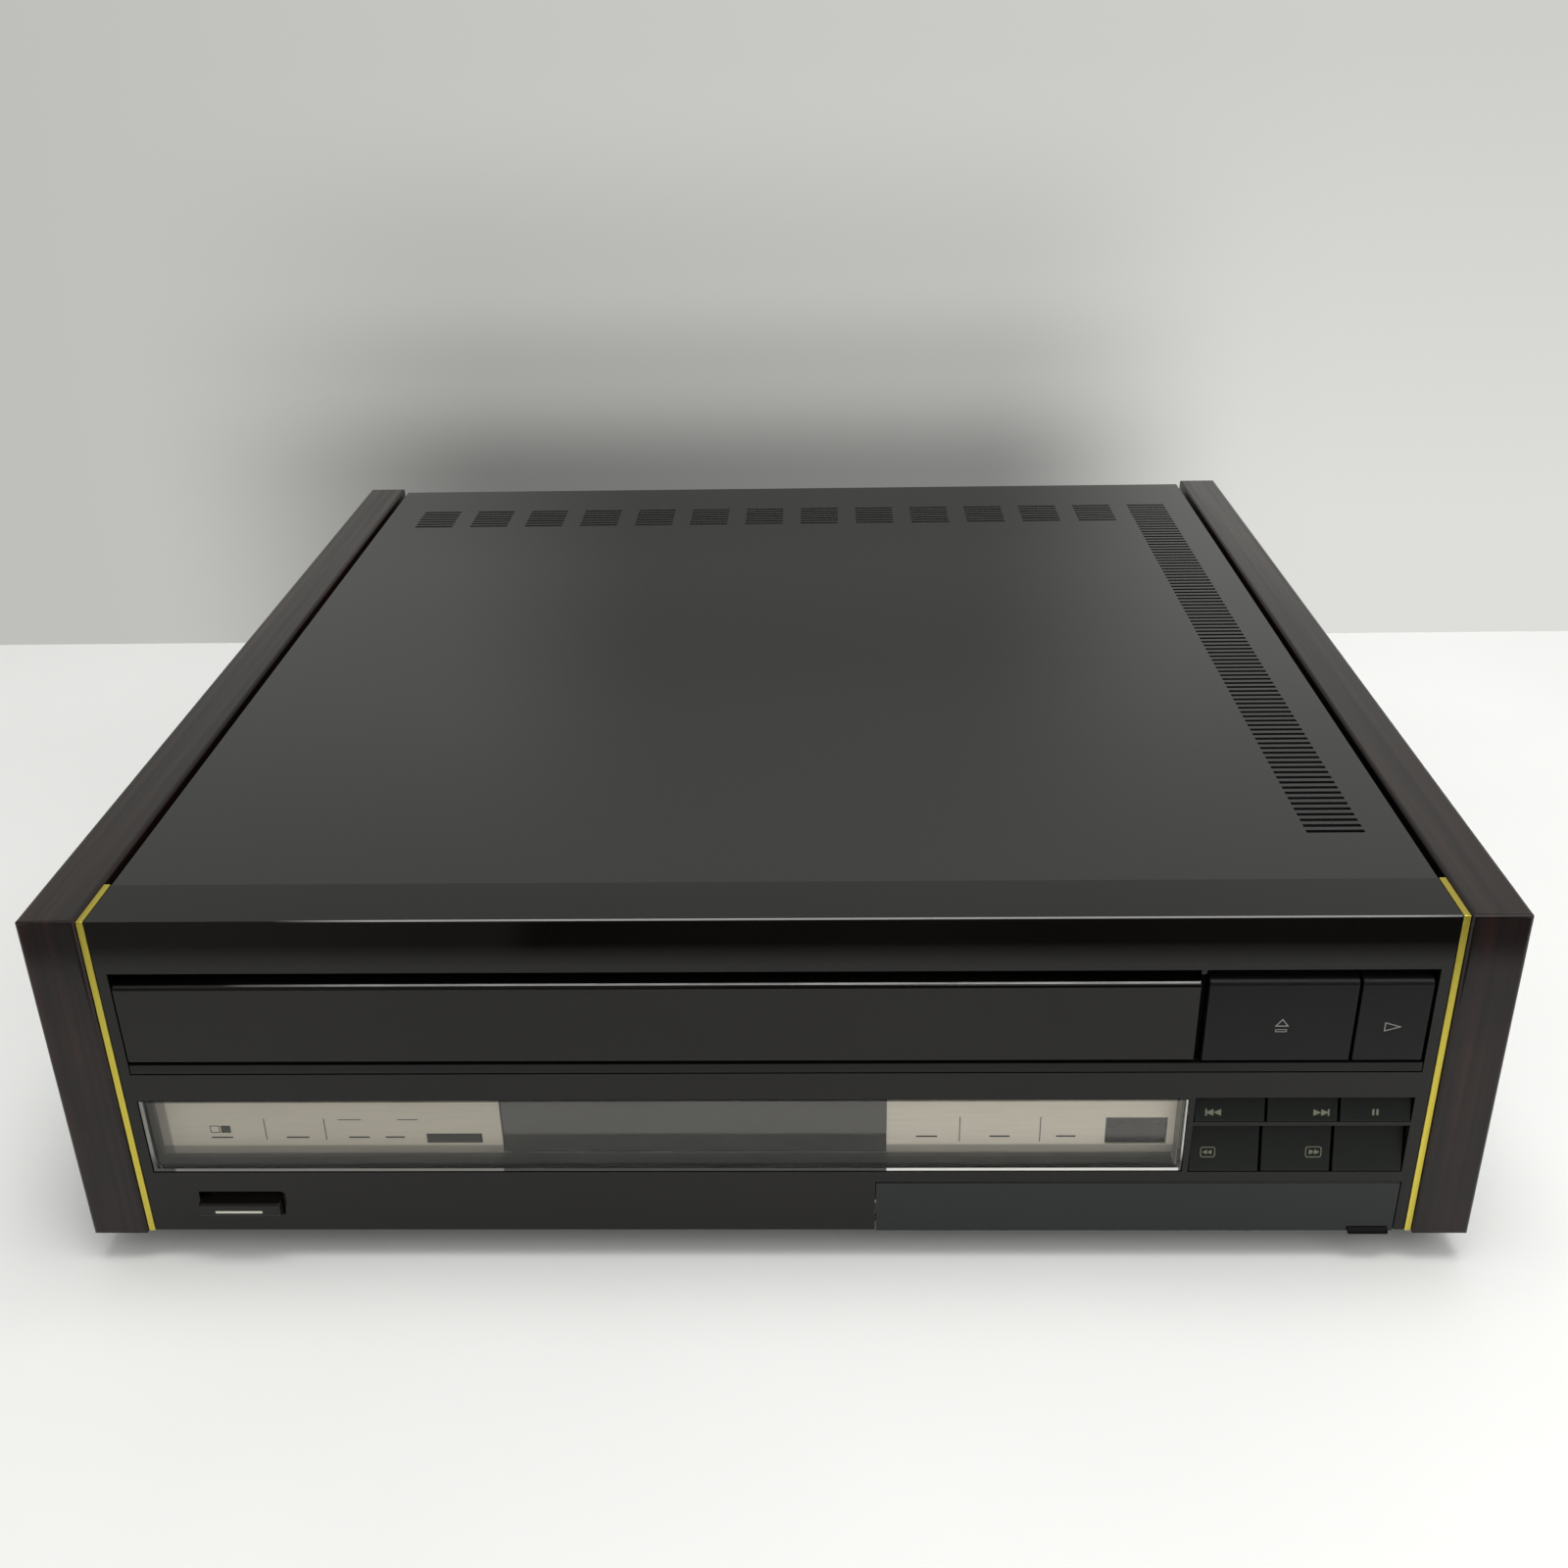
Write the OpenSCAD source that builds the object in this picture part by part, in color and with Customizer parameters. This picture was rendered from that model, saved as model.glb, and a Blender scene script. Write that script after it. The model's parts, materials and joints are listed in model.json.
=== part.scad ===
/* [Case] */
// Width over both side panels
case_w = 457; // [450:1:470]
// Depth of the side panels, front to back
case_d = 453; // [450:1:470]
// Height of the side panels
case_h = 122.6; // [122.4:0.1:126]
// Thickness of a side panel
side_t = 18.5; // [16:0.5:19]
// Radius on the edges of a side panel
side_edge_r = 1.5; // [0.5:0.5:3]
// Gap between the top cover and a side panel
cover_gap = 1.8; // [1.5:0.1:2.4]
// Thickness of the steel cover
cover_t = 1; // [0.8:0.1:1.2]
// Thickness of the steel base and its walls
base_t = 1.2; // [1:0.1:1.6]
// Height of the base's side walls
base_wall_h = 40; // [20:1:60]
// Step from the top of a side panel down to the cover
cover_step = 1.8; // [1.4:0.1:2]

/* [Feet] */
// Radius of a foot
foot_r = 26; // [20:1:30]
// Clear height under the side panels
foot_h = 11; // [8:0.5:16]
// Thickness of the pad under a foot
pad_t = 1.5; // [1:0.5:2]
// Distance from a side panel's outside to the centre of a foot
foot_edge = 54.5; // [50:0.5:70]
// Distance from the front, and from the back, to the centre of a foot
foot_end = 50; // [40:1:80]

/* [Top vents] */
// Blocks of slots in the row at the back
vent_blocks = 13; // [8:1:13]
// Slots in one block
vent_rows = 7; // [4:1:9]
// Slots in the long column at the right
column_rows = 91; // [60:1:91]
// Distance from slot to slot
vent_pitch = 3.98; // [3.8:0.01:4.1]
// Width of a slot, front to back
vent_slot = 2; // [1.2:0.1:2.4]
// Length of a slot, left to right
vent_len = 19; // [14:0.5:22]
// Distance from block to block
block_pitch = 28.2; // [24:0.1:28.4]
// Distance from the front to the first slot of the column
column_front = 55.5; // [50:0.5:60]

/* [Front panel] */
// Setback of the front panel behind the side panels
panel_set = 1.5; // [0.5:0.1:2]
// Wall of the moulded front panel
panel_wall = 3; // [2.5:0.1:3.2]
// Depth of the glossy shelf on top of the front panel
shelf_d = 22.5; // [21:0.5:30]
// Width of a gold trim strip
trim_w = 2.2; // [1:0.1:3]
// Depth of the metal of a gold trim strip
trim_leg = 3; // [2:0.5:5]

/* [Tray bay] */
// Height of the bay's floor above the side panels' bottom
bay_z = 64.5; // [64:0.1:66]
// Height of the bay's opening
bay_h = 38.2; // [37.8:0.1:39]
// Margin from the front panel's edge to the bay
bay_edge = 3.4; // [3:0.1:6]
// Height of the ledge strip along the bay's floor
ledge_h = 3.5; // [2:0.1:3.8]
// Width of the tray door
door_w = 336.5; // [334:0.5:338]
// Height of the tray door
door_h = 28.5; // [27:0.1:29]
// Gap between the tray door and the first key
door_gap = 2.5; // [2.3:0.1:3]

/* [Keys] */
// Gap between neighbouring keys
key_gap = 1; // [0.6:0.1:1.4]
// Gap between the last key and the end of the bay
key_end = 1.1; // [0.6:0.1:1.4]
// Height of the open and play keys
big_key_h = 29.8; // [26:0.1:30]
// Width of the play key
play_w = 21.5; // [18:0.5:30]
// Travel of a key
key_travel = 1.5; // [1:0.1:1.6]
// Radius of a key's stem
stem_r = 2; // [1.5:0.1:2.4]
// Height of a key in the upper small row
upper_key_h = 9; // [8:0.1:9.4]
// Height of a key in the lower small row
lower_key_h = 17.8; // [15:0.1:18]
// Setback of the upper row's top edge
upper_slope = 2.6; // [1:0.1:3]
// Setback of the lower row's top edge
lower_slope = 4.4; // [2:0.1:5]
// Height of the bar between the two small rows
key_bar = 1.8; // [1.4:0.1:2.4]

/* [Display] */
// Height of the window's lower edge
window_z = 25.5; // [25:0.1:26]
// Height of the window
window_h = 28.5; // [26:0.1:28.6]
// Depth of the window's moulding
window_d = 8; // [6:0.5:8.4]
// Wall of the window's face
window_wall = 2.4; // [1.5:0.1:3]
// Width of the fluorescent display
tube_w = 126.6; // [100:0.2:140]

/* [Power] */
// Width of the power button
power_w = 25.2; // [20:0.1:28]
// How far the power button stands out of the front panel
power_reach = 6; // [4:0.1:8]
// Travel of the power button
power_travel = 4; // [2:0.1:5]

/* [Control door] */
// Width of the flap over the small controls
flap_w = 170; // [160:0.5:170]
// Height of the flap
flap_h = 20.4; // [19:0.1:20.6]
// Thickness of the flap
flap_t = 3; // [2.4:0.1:3]
// Radius of the pins that the flap turns on
flap_pin_r = 1.2; // [1:0.1:1.4]
// Width of the lip that opens the flap
lip_w = 13; // [8:0.5:20]
// Radius of the headphone plug's hole
phone_r = 3.2; // [3.2:0.05:3.3]
// Radius of the level knob
knob_r = 6.5; // [5:0.1:7]
// Width of a small control key
sub_key_w = 13; // [9:0.5:15]

/* [Disc tray] */
// Radius of the well for a 30 cm disc
well_r = 152.5; // [152:0.1:153]
// Depth of the well for a 30 cm disc
well_depth = 4; // [3:0.1:4.5]
// Radius of the well for a 20 cm disc
small_well_r = 102; // [101.5:0.1:103]
// Depth of the small well below the large one
small_well_depth = 2.8; // [2:0.1:3]
// Thickness of the tray's plate and floors
tray_t = 2.6; // [2:0.1:2.8]
// Width of the tray
tray_w = 322; // [320:0.5:324]
// Plate in front of the well
tray_front = 10; // [8:0.5:12]
// Plate behind the well
tray_back = 64; // [60:1:68]
// Half the width of the slot that passes over the turntable
slot_half = 56; // [54:0.5:60]
// Travel of the tray
tray_travel = 300; // [280:1:300]
// Width of a guide rail
rail_w = 8; // [7:0.5:9]

/* [Loading drive] */
// Module of the rack and its pinion
rack_m = 1.5; // [1.4:0.05:1.6]
// Teeth of the pinion on the rack
pinion_teeth = 20; // [18:1:22]
// Module of the step-down gears
step_m = 1; // [0.9:0.05:1.1]
// Teeth of the large gear under the pinion
step_teeth = 64; // [56:1:66]
// Teeth of the small gear on the belt wheel
small_teeth = 18; // [17:1:20]
// Radius of the belt wheel's groove
wheel_r = 25; // [20:0.5:27]
// Radius of the motor pulley's groove
pulley_r = 5; // [4:0.5:7]
// Backlash between teeth
backlash = 0.24; // [0.2:0.02:0.4]

/* [Mechanism] */
// Radius of the turntable
table_r = 45; // [40:0.5:48]
// Radius of the centring cone's base, which fits the disc's hole
cone_r = 17.4; // [17:0.1:17.4]
// Radius of the clamper
clamper_r = 32; // [26:0.5:36]
// Drop of the mechanism when a disc is loaded
lift_drop = 14; // [10:0.5:14]
// Travel of the lift slider
slider_travel = 20; // [18:0.5:22]
// Radius of the lift pins
lift_pin_r = 2; // [1.5:0.1:2.5]
// Radius of a guide rod
rod_r = 3; // [2.5:0.1:3.5]
// Half the distance between the guide rods
rod_half = 40; // [39:0.5:42]
// Travel of the pickup along the rods
pickup_travel = 95; // [90:1:95]
// Module of the pickup's feed gears
feed_m = 0.8; // [0.75:0.05:0.85]
// Teeth of the feed gear's pinion
feed_pinion_teeth = 18; // [17:1:19]
// Teeth of the feed gear's large wheel
feed_wheel_teeth = 40; // [36:1:42]
// Teeth on the feed motor
feed_motor_teeth = 16; // [16:1:18]

/* [Back] */
// Distance the sockets stand out behind the back panel
jack_reach = 9; // [7:0.5:12]
// Radius of the outer contact of a socket
jack_r = 4.15; // [4.1:0.05:4.2]
// Radius of the centre hole of a socket
jack_hole_r = 1.6; // [1.6:0.05:1.7]
// Radius of the control socket's hole
mini_hole_r = 1.8; // [1.75:0.05:1.85]
// Distance from socket to socket
jack_pitch = 20; // [16:0.5:24]

/* [Hidden] */
$fn = 64;
eps = 0.01;
over = 1;

// Clearances
seat = 0.1;          // between fixed pieces that are fitted to each other
slack = 0.3;         // round a piece that moves, and between seated pieces
run = 0.05;          // radial, between a shaft and its bore
passing = 0.4;       // round the flap and the keys

// Places along the depth are counted from the side panels' front, heights from their bottom
front_reach = power_reach - panel_set;
rear_y = case_d - 3;
rear_reach = rear_y + jack_reach - case_d;
front_y = (front_reach - rear_reach - case_d) / 2;

// Front panel
inner_x = case_w / 2 - side_t;
spacer_in = 60;
spacer_low = 32;
spacer_top = 34;
spacer_r = 8;
panel_x = inner_x - trim_w - seat;
panel_y = panel_set;
panel_z0 = 1;
panel_z1 = case_h - 1.1;
shelf_y = panel_y + shelf_d;
panel_in = panel_y + panel_wall;
side_wall = 2.5;
frame_wall = 2;
trim_set = 0.9;
trim_top = case_h - 0.7;

// Cover and base
cover_x = inner_x - cover_gap;
cover_z = case_h - cover_step;
cover_under = cover_z - cover_t;
cover_y0 = shelf_y + 0.6;
cover_y1 = rear_y + 1.6;
flange_z = 6;
cover_lip_back = 9;
cover_lip_front = 5;
column_x = cover_x - 23.2;
cover_screw_x = [-cover_x + 40, 0, cover_x - 40];
cover_screw_z = cover_under - 4.5;
screw_r = 1.5;
foot_screw_r = 2;
foot_places = [for (x = [foot_edge - case_w / 2, case_w / 2 - foot_edge],
                    y = [foot_end, case_d - foot_end]) [x, y]];
base_x = cover_x - cover_t - slack;
base_z0 = 1;
base_z1 = base_z0 + base_t;
wall_y = 28;
wall_h = 58;
wall_slot_pitch = 50;
wall_slot_len = 24;

// Tray bay
bay_x0 = -panel_x + bay_edge;
bay_x1 = panel_x - bay_edge;
bay_z1 = bay_z + bay_h;
bay_d = 12;
ledge_z1 = bay_z + passing + ledge_h;
door_x0 = bay_x0 + passing;
door_x1 = door_x0 + door_w;
door_z0 = ledge_z1 + 1.1;
door_z1 = door_z0 + door_h;
door_y1 = panel_y + 5.5;
door_round = 1.6;
door_pockets = 8;
door_rib = 3;
header_y = door_y1 + 2;
header_t = 2;

// Keys
bank_x0 = door_x1 + door_gap;
bank_x1 = bay_x1 - key_end;
back_wall_y = panel_y + 11.5;
back_wall_t = 2;
key_back = back_wall_y - key_travel - 0.5;
big_key_z = ledge_z1 + 0.8;
key_z_low = window_z;
key_z_up = key_z_low + lower_key_h + passing + key_bar;
upper_key_z1 = key_z_up + upper_key_h;
small_w = (bank_x1 - bank_x0 - 2 * key_gap) / 3;
open_w = bank_x1 - bank_x0 - key_gap - play_w;
stem_end = back_wall_y + back_wall_t + 2.5;
key_wall = 1.6;
key_round = 2.2;
board_y = shelf_y - 0.5;
board_t = 1.6;
switch_half = 3;
switch_tip_r = 1.4;
switch_tip = stem_end + key_travel + slack;

// Display
window_x0 = bay_x0 + passing;
window_x1 = door_x1;
window_z1 = window_z + window_h;
window_rim = 1.3;
backing_y = panel_y + window_d + 0.7;
backing_t = 1;
tube_x = (window_x0 + window_x1) / 2 + 9.7;
tube_y = backing_y + backing_t + slack;
tube_d = 7.6;
sensor_x = window_x1 - 14;
sensor_w = 20;
sensor_z = window_z + 4.9;
sensor_h = 10.7;
display_board_y = tube_y + tube_d + slack;

// Power button
power_x = -panel_x + 32;
power_z0 = 8;
power_z1 = 17.3;
power_face_z0 = 12;
power_face_z1 = 16.8;
power_guide_y = panel_y + 12;
power_back = power_guide_y - 0.5;
power_stem_r = 2.5;
power_stem_y = 48;
power_switch_y = power_stem_y + power_travel + slack;

// Flap over the small controls
flap_x1 = bay_x1 - passing;
flap_x0 = flap_x1 - flap_w;
flap_z0 = 0.3;
flap_z1 = flap_z0 + flap_h;
lip_in = 1.6;
lip_reach = 2.2;
lip_h = 1.6;
lip_z = 0.5;
hinge_y = panel_y + 3.1;
hinge_z = 3.4;
lug_r = 2;
lug_w = 3;
pin_len = 1.6;
recess_z1 = flap_z1 + passing;
recess_d = 13;
sub_y = panel_y + recess_d;
base_y0 = sub_y + slack;
sub_t = 1.5;
sub_key_h = 6;
sub_key_z = 8.5;
sub_key_pitch = 24;
sub_key_x = flap_x0 + 72;
sub_key_front = sub_y - 6;
sub_travel = 1;
sub_board_y = wall_y - slack - board_t;
phone_x = flap_x0 + 18;
phone_z = 11.5;
phone_len = 26;
phone_body_r = 5.5;
knob_x = flap_x0 + 44;
knob_z = 11.5;
knob_front = sub_y - 6.5;
knob_shaft_r = 3;

// Tray
tray_x = (door_x0 + door_x1) / 2;
tray_y0 = door_y1 + slack;
tray_z1 = door_z0 + 21.5;
spindle_y = tray_y0 + tray_front + well_r;
tray_y1 = spindle_y + well_r + tray_back;
well_z = tray_z1 - well_depth;
small_well_z = well_z - small_well_depth;
tray_low = small_well_z - tray_t;
plate_z0 = tray_z1 - tray_t;
scoop_r = 23;
scoop_angle = 42;
scoop_places = [for (a = [-90 - scoop_angle, scoop_angle - 90]) [well_r * cos(a), well_r * sin(a)]];
rail_lap = 1.7;
rail_y0 = header_y + header_t + 3;
rail_x = tray_w / 2 - rail_lap;
rail_z0 = plate_z0 - slack - 2.4;
rail_z1 = tray_z1 + slack + 2.4;
rail_foot_y = [wall_y + base_t + 2, (rail_y0 + tray_y1) / 2, tray_y1 - 10];
rail_leg = 12;

// Loading drive
pressure = 20;
rack_x = tray_x + tray_w / 2 - 17.3;
rack_y0 = 40;
rack_z0 = tray_low - 6.7;
rack_z1 = rack_z0 + 6;
pinion_r = rack_m * pinion_teeth / 2;
gear_x = rack_x - pinion_r;
gear_y = 60;
rack_y1 = gear_y + tray_travel + 8;
gear_pin_r = 2.5;
step_r = step_m * step_teeth / 2;
small_r = step_m * small_teeth / 2;
step_z0 = rack_z0 - 12;
step_z1 = step_z0 + 4;
train_angle = 170;
wheel_x = gear_x + (step_r + small_r) * cos(train_angle);
wheel_y = gear_y + (step_r + small_r) * sin(train_angle);
wheel_pin_r = 1.5;
belt_z = step_z0 - 5.5;
belt_h = 2.4;
belt_t = 1.6;
groove_h = 3.4;
flange_h = 1.2;
flange_r = 2.2;
motor_x = wheel_x - 54;
motor_y = gear_y - 2;
motor_r = 14;
motor_len = 28;
motor_shaft_r = 1;
bracket_z = belt_z - groove_h / 2 - flange_h - 2.2;
bracket_t = 1.5;
bracket_x0 = motor_x - 20;
bracket_x1 = gear_x + 22;
bracket_y0 = gear_y - 22;
bracket_y1 = gear_y + 35;

// Mechanism deck
deck_half = 80;
deck_front = 52;
deck_back = 188;
deck_y0 = spindle_y - deck_front;
deck_y1 = spindle_y + deck_back;
deck_z = 38;
deck_t = 2;
deck_wall = 1.5;
deck_flange_h = 12;
disc_z = tray_z1 - 1.5;
motor_top = deck_z + deck_t + 22;
spindle_motor_r = 32;
spindle_r = 2.5;
rod_z = motor_top;
rod_y0 = spindle_y + 28;
rod_y1 = deck_y1 - 2;
rod_block = 5;
lens_out = 50;
lens_y = spindle_y + lens_out;
carriage_y0 = lens_y - 13.5;
carriage_len = 48;
carriage_z0 = rod_z - 7;
carriage_z1 = rod_z + 10;
lens_r = 4;
lens_z = disc_z - 5.5;
lift_pin_z = deck_z + deck_flange_h - 4;
lift_pin_y = [deck_y0 + 22, deck_y1 - 28];
lift_slot_r = lift_pin_r + seat;
bracket_wall = 1.5;
lift_x = deck_half + 0.7;
slider_x = lift_x + bracket_wall + 0.8;
lift_pin_len = slider_x + bracket_wall + 1 - deck_half;
lift_slope = lift_drop / slider_travel;
slider_z0 = base_z1 + 2.3;
slider_z1 = lift_pin_z + 8;
slider_bar_y = deck_y0 + 4;

// Clamp
clamp_z = disc_z + 2.8;
clamp_hub_r = 11;
arm_z = clamp_z + 6.9;
arm_t = 1.5;
arm_half = 30;
arm_y1 = tray_y1 + 10;
arm_rib = 5;
arm_pin_r = 2.5;
arm_pin_z = arm_z + 5;
bridge_half = 97;
bridge_z1 = cover_under - 2;
bridge_t = 2;
bridge_leg = 14;

// Pickup feed
feed_rack_x = tray_x + rod_half + 11.5;
feed_pinion_r = feed_m * feed_pinion_teeth / 2;
feed_wheel_r = feed_m * feed_wheel_teeth / 2;
feed_motor_r = feed_m * feed_motor_teeth / 2;
feed_x = feed_rack_x + feed_pinion_r;
feed_y = spindle_y + 85;
feed_rack_y0 = feed_y - pickup_travel - 7;
feed_rack_y1 = feed_y + 7;
feed_rack_z = rod_z - 4;
feed_wheel_z = deck_z + deck_flange_h + 0.6;
feed_pin_r = 1.5;
feed_motor_y = feed_y - feed_wheel_r - feed_motor_r;
feed_can_r = 10;
feed_can_len = 16;

// Back
jack_x = -60;
jack_z = 34;
inlet_x = base_x - 56.9;
inlet_z = 24;
inlet_w = 15.4;
inlet_h = 8.4;
inlet_d = 12;
inlet_wall = 1.6;
jack_half = (jack_pitch - slack) / 2;
jack_window = 8.2;
jack_body = 14;
jack_face = rear_y - base_t - slack;
rear_vent_pitch = 10;
rear_vent_len = 8;
vent_r = 1.6;
chip_pitch = 50;
chip_len = 34;
can_pitch = 44;
post_r = 3;
transformer_y = rear_y - 120;
core_w = 60;
core_d = 50;
core_h = 52;
coil_w = 38;
coil_out = 11;
coil_rise = 9;
supply_y0 = 60;
supply_y1 = transformer_y - 150;
can_r = 7.5;
can_h = 34;
supply_can_pitch = 17;
sink_y = supply_y0 + 60;
sink_fins = 6;
sink_pitch = 7;
board_z = base_z1 + 5.8;
board_x0 = tray_x - tray_w / 2 + rail_lap + 3;
board_x1 = tray_x - slider_x - 16;
board_y0 = power_switch_y + 40;
board_y1 = rear_y - 32;
supply_x0 = tray_x + tray_w / 2 + 22;
supply_vent_y = 200;
floor_vent_pitch = 7;
board_posts = [for (x = [board_x0 + 5, board_x1 - 5],
                    y = [board_y0 + 8, (board_y0 + board_y1) / 2, board_y1 - 8]) [x, y]];

// Block between limits
module span(x, y, z) {
    translate([x[0], y[0], z[0]]) cube([x[1] - x[0], y[1] - y[0], z[1] - z[0]]);
}

// Extrusions of a drawn outline between two limits
module along_x(x) {
    translate([x[0], 0, 0]) rotate([90, 0, 90]) linear_extrude(x[1] - x[0]) children();
}
module along_y(y) {
    translate([0, y[1], 0]) rotate([90, 0, 0]) linear_extrude(y[1] - y[0]) children();
}
module along_z(z) {
    translate([0, 0, z[0]]) linear_extrude(z[1] - z[0]) children();
}

// Round bars along an axis, between two limits
module bar_x(x, y, z, r) {
    translate([x[0], y, z]) rotate([0, 90, 0]) cylinder(r = r, h = x[1] - x[0]);
}
module bar_y(x, y, z, r) {
    translate([x, y[1], z]) rotate([90, 0, 0]) cylinder(r = r, h = y[1] - y[0]);
}
module bar_z(x, y, z, r) {
    translate([x, y, z[0]]) cylinder(r = r, h = z[1] - z[0]);
}

// The same on the left as on the right
module both_sides() {
    children();
    mirror([1, 0, 0]) children();
}

// Rectangle between limits with round corners
module round_rect(a, b, r) {
    translate([a[0] + r, b[0]]) square([a[1] - a[0] - 2 * r, b[1] - b[0]]);
    translate([a[0], b[0] + r]) square([a[1] - a[0], b[1] - b[0] - 2 * r]);
    for (u = [a[0] + r, a[1] - r], v = [b[0] + r, b[1] - r]) translate([u, v]) circle(r);
}

// Stadium from one point to another
module slot_2d(p, q, r) {
    d = norm(q - p);
    translate(p) rotate(atan2(q[1] - p[1], q[0] - p[0])) {
        circle(r);
        translate([d, 0]) circle(r);
        translate([0, -r]) square([d, 2 * r]);
    }
}

// Brings a piece from the case's own places into the frame of the whole object
module in_case() {
    translate([0, front_y, foot_h]) children();
}

// Involute gear outline: teeth, module, and the direction of one tooth
function involute(a) = tan(a) * 180 / PI - a;
function half_angle(z, m, r) =
    90 / z - backlash / 2 / (m * z / 2) * 90 / PI
    + involute(pressure) - involute(acos(min(1, m * z / 2 * cos(pressure) / r)));
function flank_radii(z, m) =
    let (base = m * z / 2 * cos(pressure), low = max(base, m * z / 2 - 1.1 * m), tip = m * z / 2 + 0.9 * m)
    [for (i = [0 : 4]) low + (tip - low) * i / 4];
function tooth_points(z, m, at) =
    let (rs = flank_radii(z, m), root = m * z / 2 - 1.2 * m)
    concat([polar(root, at - half_angle(z, m, rs[0]) - 20 / z)],
           [for (i = [0 : 4]) polar(rs[i], at - half_angle(z, m, rs[i]))],
           [for (i = [4 : -1 : 0]) polar(rs[i], at + half_angle(z, m, rs[i]))],
           [polar(root, at + half_angle(z, m, rs[0]) + 20 / z)]);
function polar(r, a) = [r * cos(a), r * sin(a)];
module gear_2d(z, m, at) {
    polygon([for (k = [0 : z - 1]) each tooth_points(z, m, at + 360 * k / z)]);
}

// Direction of a tooth on the second gear, so that it meshes with the first
function mesh_angle(at, z1, z2, line) = line + 180 - (at - line) * z1 / z2 + 180 / z2;

// Rack outline with teeth towards -X or +X of the pitch line, along Y, with a gap centred at y = gap
module rack_2d(m, y0, y1, gap, side, back) {
    pitch = PI * m;
    half = pitch / 4 - backlash / 2;
    tip = 0.9 * m;
    root = 1.2 * m;
    foot = half + root * tan(pressure);
    crest = half - tip * tan(pressure);
    first = ceil((y0 - gap) / pitch - 0.5);
    last = floor((y1 - gap) / pitch - 0.5);
    polygon(concat(
        [[-side * back, y0], [-side * root, y0]],
        [for (k = [first : last - 1])
            let (c = gap + (k + 0.5) * pitch)
            if (c - foot > y0 && c + foot < y1)
            each [[-side * root, c - foot], [side * tip, c - crest],
                  [side * tip, c + crest], [-side * root, c + foot]]],
        [[-side * root, y1], [-side * back, y1]]));
}

// Grooved pulley on its axis, from z0 up, for a belt in a groove of radius r
module pulley(z0, r) {
    cylinder(r = r + flange_r, h = flange_h);
    translate([0, 0, flange_h - eps]) cylinder(r = r, h = groove_h + 2 * eps);
    translate([0, 0, flange_h + groove_h]) cylinder(r = r + flange_r, h = flange_h);
}

// Wooden side panel, on the right; the spacer discs stand on its inner face
module side_panel() {
    x = [inner_x, case_w / 2];
    intersection() {
        along_x(x) round_rect([0, case_d], [0, case_h], side_edge_r);
        along_z([0, case_h]) round_rect(x, [0, case_d], side_edge_r);
        along_y([0, case_d]) round_rect(x, [0, case_h], side_edge_r);
    }
    for (y = [spacer_in, case_d - spacer_in], z = [spacer_low, case_h - spacer_top])
        bar_x([inner_x - cover_gap + slack, inner_x + over], y, z, spacer_r);
}
module wood_panel_left() {
    color("#2c1512") in_case() mirror([1, 0, 0]) side_panel();
}
module wood_panel_right() {
    color("#2c1512") in_case() side_panel();
}

// Gold strips between the side panels and the front panel, bent over the top shelf
module gold_trims() {
    color("#c9a227") in_case() both_sides() along_x([inner_x - trim_w, inner_x])
        polygon([[trim_set, panel_z0], [trim_set, trim_top], [shelf_y, trim_top],
                 [shelf_y, trim_top - trim_leg], [trim_set + trim_leg, trim_top - trim_leg],
                 [trim_set + trim_leg, panel_z0]]);
}

// Tube of wall round an opening in the front panel
module sleeve(x, z, y1) {
    span([x[0] - frame_wall, x[1] + frame_wall], [panel_y, y1], [z[0] - frame_wall, z[1] + frame_wall]);
}

module key_holes(x0, w, n, z) {
    for (i = [0 : n - 1])
        bar_y(x0 + w / 2 + i * (w + key_gap), [back_wall_y - over, back_wall_y + back_wall_t + over],
              z, stem_r + slack);
}

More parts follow.
